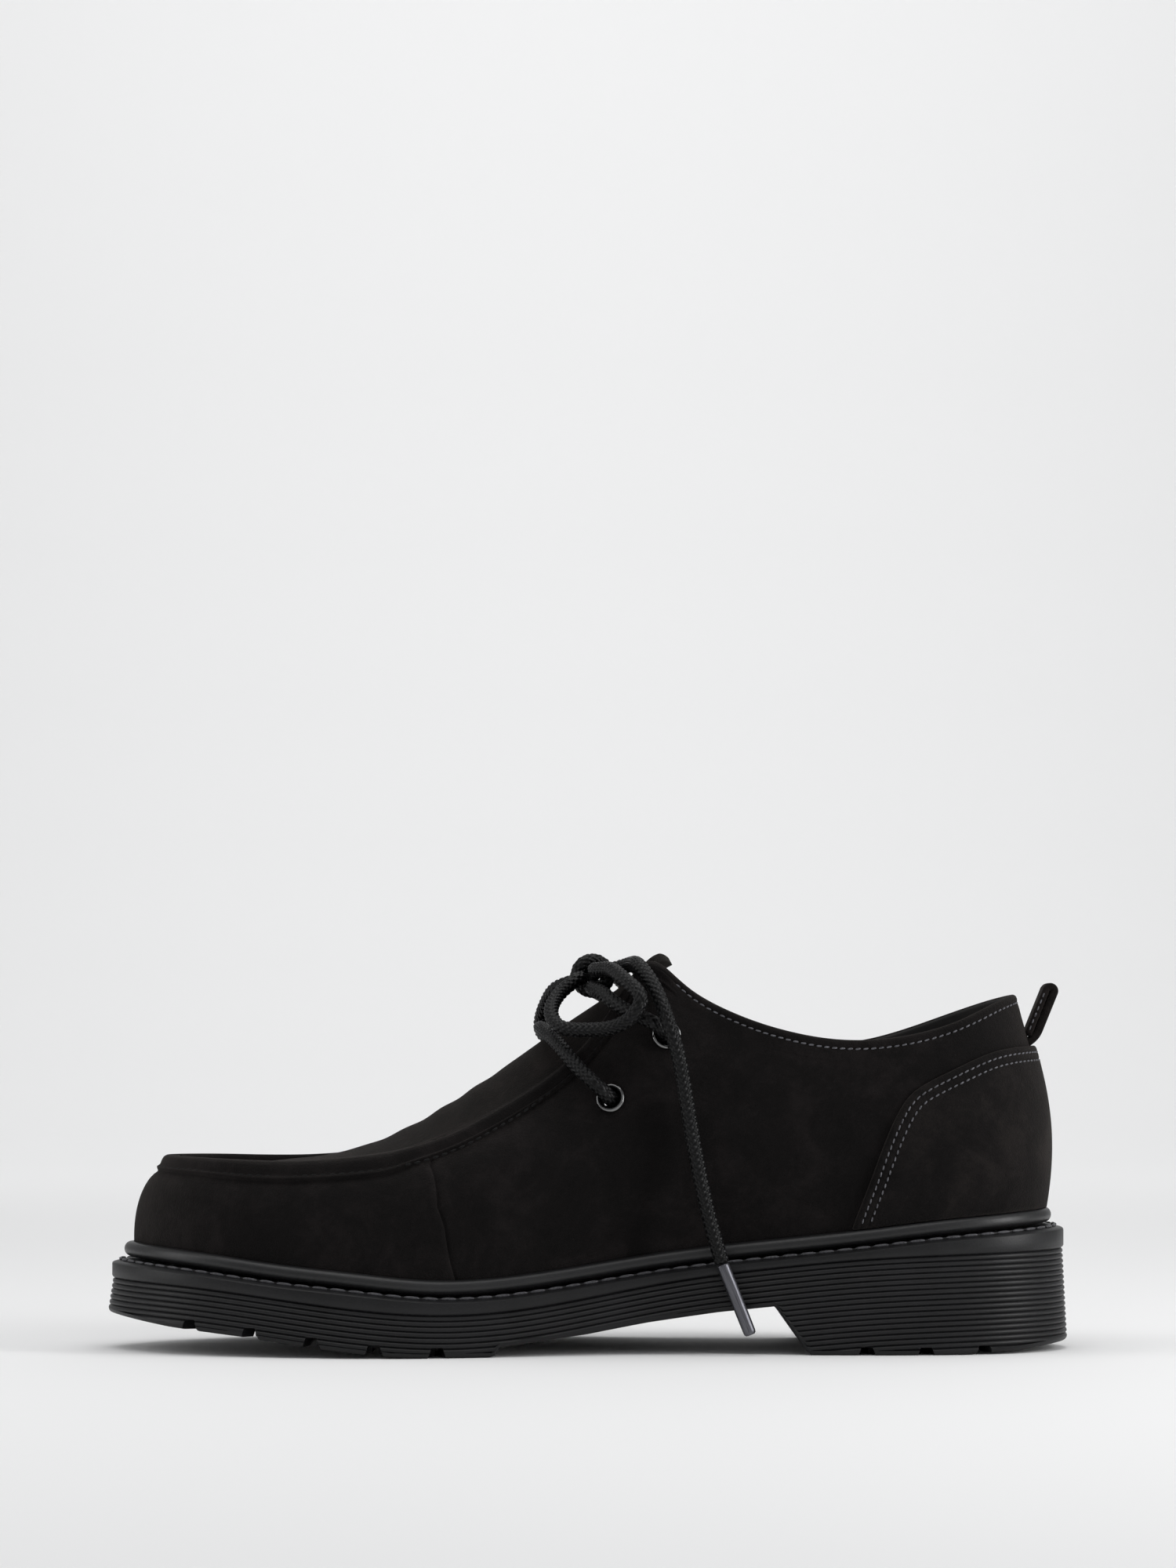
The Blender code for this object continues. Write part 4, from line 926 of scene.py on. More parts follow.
def wall_columns(count):
    """Even places round the loop, with close ones beside the vamp seam."""
    places = list(np.linspace(0.0, 2.0, count + 1)[:-1])
    for base in SEAM_BASE.values():
        places = [p for p in places if abs(p - base) > SEAM_CLEARING]
        places += [base + offset for offset in SEAM_OFFSETS]
    return np.array(sorted(places))


# %% Build the side wall
WALL_COLUMNS = 700
LOWER_ROWS = np.concatenate([np.linspace(0.0, 0.06, 4)[:-1], np.linspace(0.06, 1.0, 28)])
STRIP_SHARES = np.array([
    1.60, 1.45, 1.30, 1.20, 1.12, 1.07, 1.04, 1.02, 1.00, 0.975, 0.95, 0.91, 0.87, 0.84, 0.81, 0.77, 0.72,
    0.66, 0.60, 0.54, 0.50, 0.46, 0.44, 0.42, 0.38, 0.33, 0.28, 0.24, 0.20,
])
RIM_ANGLES = np.radians([20, 45, 70, 90, 110, 135, 160])
INNER_SHARES = np.array([0.0, 0.04, 0.10, 0.20, 0.32, 0.45, 0.58, 0.72, 0.86, 1.0])
RIM_DROP = 0.0013


def build_side_wall():
    """Lays the wall's rows: up the outside, over the strip and the rim and down the lining side."""
    u = wall_columns(WALL_COLUMNS)
    flat = np.zeros(len(u))
    station = outline_at(u)[2]
    width = strip_width(station)
    start = share_below(u, width * STRIP_SHARES[0])
    sides = np.where(u <= 1.0, "medial", "lateral")
    sections = []

    def shifted(t):
        """The columns' places, leant along the vamp seam."""
        moved = u.copy()
        for side in SIDES:
            chosen = sides == side
            moved[chosen] += seam_shift(side, u[chosen], t[chosen])
        return moved

    def groove(amount):
        """The vamp seam's groove and the slight step of the vamp over the quarter."""
        depth = np.zeros(len(u))
        for side in SIDES:
            away = (u - SEAM_BASE[side]) * HALF_LOOP
            depth -= SEAM_GROOVE * np.exp(-((away / SEAM_HALF) ** 2))
            ahead = away if side == "medial" else -away
            depth += VAMP_STEP * np.exp(-((np.clip(ahead, 0, 1) / VAMP_STEP_REACH) ** 2)) * (ahead > 0)
        return depth * amount

    def place(t, lift, seam=1.0):
        """A row of the wall at shares of its height, lifted, with seam and creases or without."""
        moved = shifted(t)
        points = wall_points(moved, t)
        normal = wall_normals(moved, t)
        total = lift + side_relief(points, t) * seam + groove(seam)
        return points + normal * total[:, None], normal

    foot, _ = place(flat, flat)
    drop = np.array([[0.0, 0.0, GAP + FOOT_DROP]])
    sections.append(foot - drop)
    sections.append(foot - drop * 0.4)
    sections += [place(start * share, flat)[0] for share in LOWER_ROWS[:-1]]
    for share in STRIP_SHARES:
        distance = np.maximum(width * share, RIM_DROP)
        seam = 1.0 if share > 1.02 else 0.0
        sections.append(place(share_below(u, distance), edge_lift(station, share), seam)[0])
    t = share_below(u, np.full(len(u), RIM_DROP))
    base, normal = place(t, flat, 0.0)
    lift = edge_lift(station, STRIP_SHARES[-1])
    outer = base + normal * lift[:, None]
    inner = base - normal * WALL
    top = wall_points(u, np.ones(len(u)))
    rise = top - base
    middle = (outer + inner) / 2
    for angle in RIM_ANGLES:
        sections.append(middle + (outer - inner) / 2 * math.cos(angle) + rise * math.sin(angle))
    sections += [place(t * (1 - share), flat - WALL, 0.0)[0] for share in INNER_SHARES]
    lining_foot = sections[-1]
    sections.append(lining_foot - drop * 0.4)
    sections.append(lining_foot - drop)
    piece = grid_piece("side_wall", np.array(sections), close_u=True, close_v=True, sizes=(0.70, 0.16))
    return piece, len(sections)


side_wall, wall_sections = build_side_wall()
print("rows round the wall's section:", wall_sections)

# %% [markdown]
# ## Eyelet holes
#
# Each eyelet is set in a punched hole. Four short round bars are joined to one cutter, and a boolean
# takes them out of the wall in one step, so that the lace can really pass through.

# %% Punch the holes and finish the wall
EYELETS = (
    # name, station, share of the wall's height
    ("lower", 0.5010, 0.600),
    ("upper", 0.4380, 0.750),
)
PUNCH_RADIUS = 0.0036
PUNCH_DEPTH = 0.012


def skin(u, t, lift=0.0):
    """Points and normals of the creased wall, lifted off its plain surface."""
    points = wall_points(u, t)
    normals = wall_normals(u, t)
    return points + normals * (side_relief(points, t) + lift)[:, None], normals


def eyelet_frame(row, side):
    """Place of an eyelet on the wall and the way it faces."""
    points, normals = skin(loop_place(side, row[1]), np.array([row[2]]))
    return Vector(points[0]), Vector(normals[0])


def mark_lining(piece, sections, first):
    """Gives the faces on the lining side the second material."""
    faces = piece.data.polygons
    rows = np.arange(len(faces)) // (len(faces) // sections)
    faces.foreach_set("material_index", (rows >= first).astype(np.int32))


def punch_holes(piece):
    """Punches the four eyelet holes with one cutter."""
    bars = []
    for row in EYELETS:
        for side in SIDES:
            place, normal = eyelet_frame(row, side)
            turn = Vector((0, 0, 1)).rotation_difference(normal).to_euler()
            deselect()
            bpy.ops.mesh.primitive_cylinder_add(
                vertices=40, radius=PUNCH_RADIUS, depth=PUNCH_DEPTH, location=place, rotation=turn
            )
            bars.append(bpy.context.object)
    pick(*bars)
    bpy.ops.object.join()
    cut_away(piece, bpy.context.object)


lining_start = 2 + len(LOWER_ROWS) - 1 + len(STRIP_SHARES) + len(RIM_ANGLES) - 2
side_wall.data.materials.append(NUBUCK)
side_wall.data.materials.append(LINING)
mark_lining(side_wall, wall_sections, lining_start)
weld(side_wall)
punch_holes(side_wall)
finish_piece(side_wall, None, "nubuck", "upper")

# %% [markdown]
# ## Apron and tongue
#
# The apron is the flat plug that closes the toe, and on this shoe it runs on under the laces as the
# tongue. One sheet is laid from the toe to the top: at the front its edge is tucked under the roll, and
# from the throat back it dips under both facings. A few soft wrinkles cross it where the toes bend.

# %% Build the apron and tongue
ARCH_RISE = 0.42
ARCH_FLAT = 0.40
ARCH_STEEPER = 1.5
ARCH_STEEPEST = math.radians(55)
APRON_ROWS = 190
ARCH_COLUMNS = 26
APRON_DEPTH = 0.0012
APRON_TUCK = 0.0015
SPLIT_START = 0.600
SPLIT_END = 0.545
TOE_SMOOTH_FROM = -0.104
TOE_SMOOTH_MARGIN = 0.0003
TOE_SMOOTH_PASSES = 260


def ridge_points(station):
    """Points of the instep's ridge, in the middle of the shoe."""
    x, z = RIDGE_LINE(station).T
    return np.column_stack([x, np.zeros(len(x)), z])


def smooth_toe(piece, border):
    """Evens out the height where the arches run together at the toe."""
    mesh = bmesh.new()
    mesh.from_mesh(piece.data)
    inner = []
    for vertex in mesh.verts:
        gap = np.min(np.linalg.norm(border - np.array(vertex.co), axis=1))
        if vertex.co.x < TOE_SMOOTH_FROM and gap > TOE_SMOOTH_MARGIN and not vertex.is_boundary:
            inner.append(vertex)
    for _ in range(TOE_SMOOTH_PASSES):
        bmesh.ops.smooth_vert(
            mesh, verts=inner, factor=0.5, use_axis_x=False, use_axis_y=False, use_axis_z=True
        )
    mesh.to_mesh(piece.data)
    mesh.free()


def build_apron():
    """Spans arches from each edge of the throat to the ridge and lays one sheet over them."""
    data = OUTLINE["medial"]
    arcs = np.linspace(float(loop_place("medial", CORNER)), 1.0, APRON_ROWS)
    station = np.interp(arcs, data["arc"], data["station"])
    ridge = ridge_points(station)
    split = 1 - smooth_step(station, SPLIT_END, SPLIT_START)
    depth = APRON_DEPTH + (WALL + TONGUE_CLEAR - APRON_DEPTH) * split
    tuck = APRON_TUCK + (TONGUE_TUCK - APRON_TUCK) * split
    halves = {}
    for side in SIDES:
        u = loop_place(side, station)
        border = []
        for share in (1.0, 0.75, 0.5, 0.25, 0.0):
            t = share_below(u, tuck * share)
            border.append(wall_points(u, t) - wall_normals(u, t) * depth[:, None])
        edge = border[-1]
        reach = np.abs(edge[:, 1] - ridge[:, 1])
        rise = ridge[:, 2] - edge[:, 2]
        angle = np.minimum(ARCH_STEEPER * np.arctan2(rise, np.maximum(reach, 1e-6)), ARCH_STEEPEST)
        inward = -np.sign(edge[:, 1])
        lead = (ridge[:, 0] - edge[:, 0]) / np.maximum(reach, 0.001)
        front = unit(np.column_stack([lead * np.cos(angle), inward * np.cos(angle), np.sin(angle)]))
        rear = unit(border[-1] - border[-3])
        heading = unit(front * (1 - split)[:, None] + rear * split[:, None])
        first = edge + heading * (reach * ARCH_RISE)[:, None]
        second = ridge.copy()
        second[:, 1] -= inward * reach * ARCH_FLAT
        for t in np.linspace(0, 1, ARCH_COLUMNS)[1:]:
            s = 1 - t
            border.append(s ** 3 * edge + 3 * s * s * t * first + 3 * s * t * t * second + t ** 3 * ridge)
        halves[side] = border
    columns = halves["medial"] + halves["lateral"][-2::-1]
    points = np.stack(columns, axis=1)
    flat = points.reshape(-1, 3)
    soft = relief(flat[:, 0], flat[:, 1], TOP_CREASES).reshape(points.shape[:2])
    across = np.linspace(-1, 1, points.shape[1])
    points[:, :, 2] += soft * (1 - np.abs(across) ** 6)[None, :]
    piece = grid_piece("apron_and_tongue", points, sizes=(0.08, 0.16))
    weld(piece)
    smooth_toe(piece, np.vstack([points[:, 0], points[:, -1]]))
    thicken_down(piece, TONGUE_THICK)
    soften = piece.modifiers.new("Soft edge", "BEVEL")
    soften.width = 0.0008
    soften.segments = 3
    soften.limit_method = "ANGLE"
    soften.angle_limit = math.radians(60)
    apply_modifiers(piece)
    bpy.ops.object.shade_smooth()
    return piece


apron = build_apron()
finish_piece(apron, NUBUCK_APRON, "nubuck", "tongue")

# %% [markdown]
# ## Heel counter
#
# The counter is a second layer of nubuck that wraps the heel. Its grid is made of rays: they start on
# the counter's own edge, run square to it for the stitched border and then drop to the welt, so that
# the two stitch channels keep their distance from the edge all the way round.

# %% Build the heel counter
COUNTER_EDGE = (
    # station, height in heel heights
    (0.0000, 0.852),
    (0.0500, 0.836),
    (0.1030, 0.790),
    (0.1410, 0.748),
    (0.1670, 0.699),
    (0.1840, 0.634),
    (0.2000, 0.551),
    (0.2130, 0.470),
    (0.2260, 0.386),
    (0.2315, 0.346),
)
COUNTER_COLUMNS = 300
BORDER = (
    # distance inside the edge, lift in counter thicknesses; the dips are the two stitch channels
    (0.0, 0.10), (0.0002, 0.62), (0.0005, 0.86), (0.0009, 0.98), (0.0014, 1.02), (0.0019, 0.98),
    (0.0022, 0.80), (0.0025, 0.98), (0.0029, 1.04), (0.0034, 1.04), (0.0040, 0.98), (0.0044, 0.80),
    (0.0047, 0.98), (0.0050, 1.04), (0.0056, 1.02), (0.0066, 1.0), (0.0080, 1.0), (0.0100, 1.0),
)
COUNTER_DROP_ROWS = 22
COUNTER_SINK = -0.0006
COUNTER_STITCHES = (0.0022, 0.0047)
COUNTER_MIDDLE = (0.0, 0.045)


def counter_edge_line():
    """The counter's edge in the unrolled plane: metres round the heel, and height."""
    station = np.linspace(0.0, COUNTER_EDGE[-1][0], 160)
    stations, heights = zip(*COUNTER_EDGE)
    height = smooth_spline(stations, [share * HEEL_HEIGHT for share in heights])(station)[:, 0]
    near, far = [
        np.interp(station, OUTLINE[side]["station"], OUTLINE[side]["arc"]) * HALF_LOOP for side in SIDES
    ]
    along = np.concatenate([near[::-1], -far[1:]])
    rise = np.concatenate([height[::-1], height[1:]])
    line = np.column_stack([along, rise])
    run = run_along(line)
    even = np.linspace(0, run[-1], COUNTER_COLUMNS)
    line = np.column_stack([np.interp(even, run, column) for column in line.T])
    tangent = unit(np.gradient(line, axis=0))
    inward = np.column_stack([tangent[:, 1], -tangent[:, 0]])
    inward *= np.sign(np.sum(inward * (np.array(COUNTER_MIDDLE) - line), axis=1))[:, None]
    for _ in range(12):
        inward[1:-1] = (inward[:-2] + inward[1:-1] * 2 + inward[2:]) / 4
    return line, unit(inward)


COUNTER_LINE, COUNTER_INWARD = counter_edge_line()


def counter_plane(offset):
    """The counter's border line at an offset inside its edge, kept above the bead."""
    line = COUNTER_LINE + COUNTER_INWARD * offset
    u = line[:, 0] / HALF_LOOP
    floor = BEAD_TOP(outline_at(u)[2])[:, 0] + GAP
    line[:, 1] = np.maximum(line[:, 1], floor)
    return line, floor


def counter_points(line, lift):
    """Points and normals on the wall for a line of the unrolled plane."""
    u = line[:, 0] / HALF_LOOP
    return skin(u, share_at(u, line[:, 1]), lift)


def build_counter():
    """Lays the border's rows, then the rows down to the welt, and closes the overlay behind."""
    sections = []
    for offset, share in BORDER:
        sections.append(counter_points(counter_plane(offset)[0], CLEAR + COUNTER_THICK * share)[0])
    line, floor = counter_plane(BORDER[-1][0])
    drops = [(share, CLEAR + COUNTER_THICK) for share in np.linspace(0, 1, COUNTER_DROP_ROWS + 1)[1:]]
    drops += [(share, COUNTER_SINK) for share in (1.0, 0.66, 0.33, 0.0)]
    for share, lift in drops:
        lower = line.copy()
        lower[:, 1] = line[:, 1] + (floor - line[:, 1]) * share
        sections.append(counter_points(lower, lift)[0])
    for offset in (0.004, 0.0):
        sections.append(counter_points(counter_plane(offset)[0], COUNTER_SINK)[0])
    piece = grid_piece("heel_counter_overlay", np.array(sections), close_u=True, sizes=(0.20, 0.07))
    return weld(piece)


counter = build_counter()
finish_piece(counter, NUBUCK_COUNTER, "nubuck", "heel_counter")

# %% [markdown]
# ## Stitches
#
# One stitch is modelled once, from a sphere pulled into a short grain with flat ends. It is then laid
# along each seam at the machine's pitch and the copies of a seam are joined to one mesh, because a
# thousand loose objects would be slow and hard to handle.


# %% Lay rows of stitches
def stitch_shape():
    """Points and faces of one stitch, one unit long and one unit thick."""
    deselect()
    bpy.ops.mesh.primitive_uv_sphere_add(segments=8, ring_count=6, radius=0.5)
    ball = bpy.context.object
    bpy.ops.object.mode_set(mode="EDIT")
    bpy.ops.mesh.select_all(action="SELECT")
    bpy.ops.transform.rotate(value=math.radians(90), orient_axis="Y", center_override=(0, 0, 0))
    bpy.ops.object.mode_set(mode="OBJECT")
    points = np.array([v.co[:] for v in ball.data.vertices])
    points[:, 0] = np.sign(points[:, 0]) * 0.5 * np.abs(points[:, 0] * 2) ** 0.7
    faces = [tuple(p.vertices) for p in ball.data.polygons]
    bpy.data.objects.remove(ball, do_unlink=True)
    return points, faces


STITCH_POINTS, STITCH_FACES = stitch_shape()
# pitch, length and thickness of a seam's stitches, and the angle they lie at
COLLAR_STITCH = (0.0024, 0.0017, 0.00062, math.radians(8))
SEAM_STITCH = (0.0029, 0.0019, 0.00062)
COUNTER_STITCH = (0.0022, 0.0016, 0.00060, math.radians(10))
WELT_STITCH = (0.0056, 0.0048, 0.0010)
LOOP_STITCH = (0.0022, 0.0015, 0.00055)


def stitch_row(points, normals, pitch, length, thickness, tilt=0.0):
    """Places of stitches along a line on a surface, as rows of corner points."""
    run = run_along(points)
    copies = []

    def read(rows, at):
        return np.array([np.interp(at, run, rows[:, k]) for k in range(3)])

    for i in range(int(run[-1] / pitch)):
        at = (i + 0.5) * pitch
        up = read(normals, at)
        way = read(points, at + length / 2) - read(points, at - length / 2)
        way = way / np.linalg.norm(way)
        side = np.cross(up, way)
        side /= np.linalg.norm(side)
        up = np.cross(way, side)
        way = way * math.cos(tilt) + side * math.sin(tilt)
        side = np.cross(up, way)
        shape = STITCH_POINTS * np.array([length, thickness, thickness])
        copies.append(read(points, at) + shape @ np.array([way, side, up]))
    return copies


def stitch_piece(name, copies, material, slot):
    """Joins the stitches of a seam to one piece."""
    faces = []
    for i in range(len(copies)):
        start = i * len(STITCH_POINTS)
        faces += [tuple(start + k for k in face) for face in STITCH_FACES]
    piece = mesh_piece(name, np.concatenate(copies).tolist(), faces)
    piece.data.shade_smooth()
    return finish_piece(piece, material, slot)


def strip_line(first, last, share, lift, count=600):
    """A line on the strip below the edge, between two places of the loop."""
    u = np.linspace(first, last, count)
    station = outline_at(u)[2]
    t = share_below(np.mod(u, 2.0), strip_width(station) * share)
    return skin(u, t, edge_lift(station, share) + lift)


COLLAR_ROW_END = 0.428
SEAM_ROW_START = 0.470
near_end = float(loop_place("medial", COLLAR_ROW_END))
far_end = float(loop_place("lateral", COLLAR_ROW_END)) - 2.0
collar_line = strip_line(near_end, far_end, STITCH_SHARE_COLLAR, 0.00008)
collar_row = stitch_row(*collar_line, *COLLAR_STITCH)
stitch_piece("collar_stitches", collar_row, THREAD_GREY, "nubuck")

near_start = float(loop_place("medial", SEAM_ROW_START))
far_stop = float(loop_place("lateral", SEAM_ROW_START))
seam_line = strip_line(near_start, far_stop, STITCH_SHARE_ROLL, -0.00012, 900)
seam_row = stitch_row(*seam_line, *SEAM_STITCH)
stitch_piece("apron_seam_stitches", seam_row, THREAD_BLACK, "nubuck")

counter_rows = []
for offset in COUNTER_STITCHES:
    line, floor = counter_plane(offset)
    kept = line[:, 1] > floor + 0.0012
    points, normals = counter_points(line[kept], CLEAR + COUNTER_THICK * 0.86)
    counter_rows += stitch_row(points, normals, *COUNTER_STITCH)
stitch_piece("counter_stitches", counter_rows, THREAD_GREY, "nubuck")

# %% [markdown]
# ## Sole unit
#
# The sole is one block of moulded rubber. The mould cuts a rib every 1.65 mm round its side, follows
# them parallel to the lip and lets them run out at the bottom. Above sits the lip with the welt's
# stitch channel, then a round bead against the upper. The side is a computed band of columns, closed
# with flat strips under and over, and the tread's notches are cut by one boolean.

# %% Build the sole
SOLE_COLUMNS = 290
LIP_RAISE = 0.0008
RIB_SHAPE = ((0.0, 1.0), (0.14, 0.52), (0.32, 0.10), (0.50, 0.0), (0.68, 0.10), (0.86, 0.52))
RIB_COUNT = int(HEEL_STACK / RIB_PITCH)
LIP_PROFILE = (
    # inset in lip insets, height over the lip
    (1.0, -0.0009),
    (1.10, -0.0004),
    (1.45, -0.0001),
    (1.90, 0.0001),
)
CHANNEL_PROFILE = (
    # inset, height over the ledge
    (0.0033, -0.0005),
    (0.0037, -0.0004),
    (0.0040, -0.0005),
    (0.0042, -0.0007),
    (0.0051, -0.0007),
    (0.0053, 0.0),
)


def underside(station):
    """Height of the underside at a station."""
    return HEEL_STACK * np.interp(station, *zip(*SOLE_BOTTOM))


def sole_columns(side, station):
    """Points of the sole's side, rows by columns, from the bottom edge to the ledge under the upper."""
    spot, inward, _ = outline_at(loop_place(side, station))
    top = BEAD_TOP(station)[:, 0]
    groove = FIRST_GROOVE(station)[:, 0]
    bottom = underside(station)
    flat = bottom + BASE_CHAMFER
    depth = np.maximum(groove - flat, 1e-6)
    rows = [
        (BASE_CHAMFER, bottom),
        (BASE_CHAMFER * 0.42, bottom + BASE_CHAMFER * 0.16),
        (BASE_CHAMFER * 0.12, bottom + BASE_CHAMFER * 0.52),
        (0.0, flat),
    ]
    ribs = []
    for k in range(RIB_COUNT):
        for part, cut in RIB_SHAPE:
            z = groove - (k + part) * RIB_PITCH
            share = np.clip((groove - z) / depth, 0.0, 1.0)
            above = z > flat
            inset = np.where(above, RIB_INSET * (1 - share) + cut * RIB_DEPTH, 0.0)
            ribs.append((inset, np.where(above, z, flat)))
    rows += ribs[::-1]
    lip = top - LIP_DROP + LIP_RAISE
    ledge = top - LEDGE_DROP
    rows += [
        (LIP_INSET * 1.25, groove + BAND_LIFT * 0.45),
        (LIP_INSET, groove + BAND_LIFT),
        (LIP_INSET, (groove + lip) / 2),
    ]
    rows += [(LIP_INSET * share, lip + rise) for share, rise in LIP_PROFILE]
    rows += [(inset, ledge + rise) for inset, rise in CHANNEL_PROFILE]
    rows.append((UPPER_INSET - GAP, ledge))
    return np.array([
        np.column_stack([spot + inward * np.broadcast_to(inset, len(top))[:, None], z]) for inset, z in rows
    ])


def build_sole():
    """Joins the two sides' columns to a ring and closes it with strips under and over."""
    station = (1 - np.cos(np.linspace(0, math.pi, SOLE_COLUMNS))) / 2
    even = np.linspace(0, 1, SOLE_COLUMNS)
    station = station * 0.55 + even * 0.45
    near = sole_columns("medial", station)
    far = sole_columns("lateral", station)
    rows = near.shape[0]
    around = np.concatenate([near, far[:, -2:0:-1]], axis=1)
    columns = around.shape[1]
    faces = []
    for i in range(rows - 1):
        for j in range(columns):
            k = (j + 1) % columns
            faces.append((i * columns + j, i * columns + k, (i + 1) * columns + k, (i + 1) * columns + j))
    last = SOLE_COLUMNS - 1
    for level in (0, rows - 1):
        base = level * columns
        for i in range(last):
            near_a = base + i
            near_b = base + i + 1
            far_a = base + (columns - i) % columns
            far_b = base + (columns - i - 1) % columns
            corners = tuple(dict.fromkeys((near_a, near_b, far_b, far_a)))
            if len(corners) > 2:
                faces.append(corners)
    return weld(mesh_piece("rubber_sole", around.reshape(-1, 3).tolist(), faces))


NOTCH_WIDTH = 0.0046
NOTCH_SLOPE = 0.0012
NOTCH_REACH = 0.0120
# x and height of each notch: five under the forefoot, three under the heel
NOTCHES = [(-0.0453 - k * 0.0190, 0.0032) for k in range(5)]
NOTCHES += [(0.0849 + k * 0.0181, 0.0024) for k in range(3)]
CUTTER_UNDER = 0.002
CUTTER_OUTSIDE = 0.004
SIPE_HALF = 0.0011
SIPE_DEPTH = 0.0016


def add_block(points, faces, corners):
    """Adds a block of eight corners, low four then high four, to a mesh's lists."""
    start = len(points)
    points += corners
    for face in ((0, 1, 3, 2), (4, 6, 7, 5), (0, 4, 5, 1), (2, 3, 7, 6), (0, 2, 6, 4), (1, 5, 7, 3)):
        faces.append(tuple(start + k for k in face))


def cut_tread(piece):
    """Cuts a notch in each edge and a fine slit between them, at each place along the tread."""
    points = []
    faces = []
    for x, height in NOTCHES:
        station = (LENGTH / 2 - x) / LENGTH
        base = float(underside(station))
        reach = {}
        for side in SIDES:
            spot, inward, _ = outline_at(loop_place(side, station))
            across = np.array([inward[0][1], -inward[0][0]])
            corners = []
            for z, half in (
                (base - CUTTER_UNDER, NOTCH_WIDTH / 2 + NOTCH_SLOPE),
                (base + height, NOTCH_WIDTH / 2 - NOTCH_SLOPE / 2),
            ):
                for out in (-CUTTER_OUTSIDE, NOTCH_REACH):
                    for way in (-1, 1):
                        corners.append((*(spot[0] + inward[0] * out + across * way * half), z))
            add_block(points, faces, corners)
            reach[side] = spot[0][1] + inward[0][1] * NOTCH_REACH * 0.9
        corners = [
            (x + dx, y, z)
            for z in (base - CUTTER_UNDER, base + SIPE_DEPTH)
            for y in (reach["medial"], reach["lateral"])
            for dx in (-SIPE_HALF, SIPE_HALF)
        ]
        add_block(points, faces, corners)
    cut_away(piece, weld(mesh_piece("tread_cutter", points, faces)), overlapping=True)
    pick(piece)
    bpy.ops.object.shade_smooth_by_angle(angle=math.radians(38))


sole = build_sole()
cut_tread(sole)
finish_piece(sole, RUBBER, "rubber", "outsole")

# %% Build the bead and the welt stitches
BEAD_COLUMNS = 640
BEAD_ANGLES = np.radians(np.linspace(-90, 90, 15))
BEAD_FULLNESS = 0.85
WELT_STITCH_INSET = 0.0038
WELT_STITCH_SINK = 0.0001


def build_bead():
    """Sweeps half a round along the foot of the upper."""
    u = np.linspace(0, 2, BEAD_COLUMNS + 1)[:-1]
    spot, inward, station = outline_at(u)
    middle = BEAD_TOP(station)[:, 0] - BEAD_HEIGHT / 2
    sections = []
    for angle in BEAD_ANGLES:
        inset = UPPER_INSET - GAP - BEAD_REACH * math.cos(angle) ** BEAD_FULLNESS
        z = middle + BEAD_HEIGHT / 2 * math.sin(angle)
        sections.append(np.column_stack([spot + inward * inset, z]))
    piece = grid_piece("round_bead", np.array(sections), close_u=True, close_v=True, sizes=(0.69, 0.012))
    return weld(piece)


bead = build_bead()
finish_piece(bead, RUBBER_BEAD, "rubber", "welt")


def welt_line():
    """Line of the welt's stitches in their channel, and the way they face."""
    u = np.linspace(0, 2, 1200)
    spot, inward, station = outline_at(u)
    z = BEAD_TOP(station)[:, 0] - LEDGE_DROP - WELT_STITCH_SINK
    points = np.column_stack([spot + inward * WELT_STITCH_INSET, z])
    normals = np.column_stack([-inward * 0.8, np.full(len(u), 0.6)])
    return points, normals


welt_row = stitch_row(*welt_line(), *WELT_STITCH)
stitch_piece("welt_stitches", welt_row, THREAD_WELT, "rubber")

# %% [markdown]
# ## Footbed
#
# Inside lies a thin footbed covered with the lining leather, a little dished so that the heel sits in
# it. It shows only from above, through the collar.

# %% Build the footbed
INSOLE_THICK = 0.0030
FOOTBED_DISH = 0.0010


def build_footbed():
    """Spans the sole's outline, inside the wall, with a dished sheet."""
    inset = UPPER_INSET + WALL + CLEAR
    station = (1 - np.cos(np.linspace(0.0, 1.0, 120) * math.pi)) / 2
    rims = {}
    for side in SIDES:
        spot, inward, _ = outline_at(loop_place(side, station))
        rims[side] = spot + inward * inset
    top = BEAD_TOP(station)[:, 0] - LEDGE_DROP + GAP + INSOLE_THICK
    columns = []
    for share in np.linspace(0, 1, 25):
        flat = rims["medial"] * (1 - share) + rims["lateral"] * share
        dish = FOOTBED_DISH * (1 - (2 * share - 1) ** 2)
        columns.append(np.column_stack([flat, top - dish]))
    piece = grid_piece("footbed", np.stack(columns, axis=1), sizes=(0.09, 0.29))
    weld(piece)
    thicken_down(piece, INSOLE_THICK - FOOTBED_DISH)
    apply_modifiers(piece)
    return piece


footbed = build_footbed()
finish_piece(footbed, LINING, "footbed", "insole")

# %% [markdown]
# ## Pull loop
#
# A strip of nubuck is folded into a hairpin and sewn to the back of the collar, with its fold standing
# free so that a finger can pull the shoe on. A rounded section is swept along the hairpin.

# %% Build the pull loop
LOOP_WIDTH = 0.0100
LOOP_STRAP = 0.0024
LOOP_SLIT = 0.0003
LOOP_FOOT = 0.905
LOOP_REACH = 0.0128
LOOP_TAIL = 0.42
LOOP_SEAM = 0.20
LOOP_LEAN = math.radians(22)


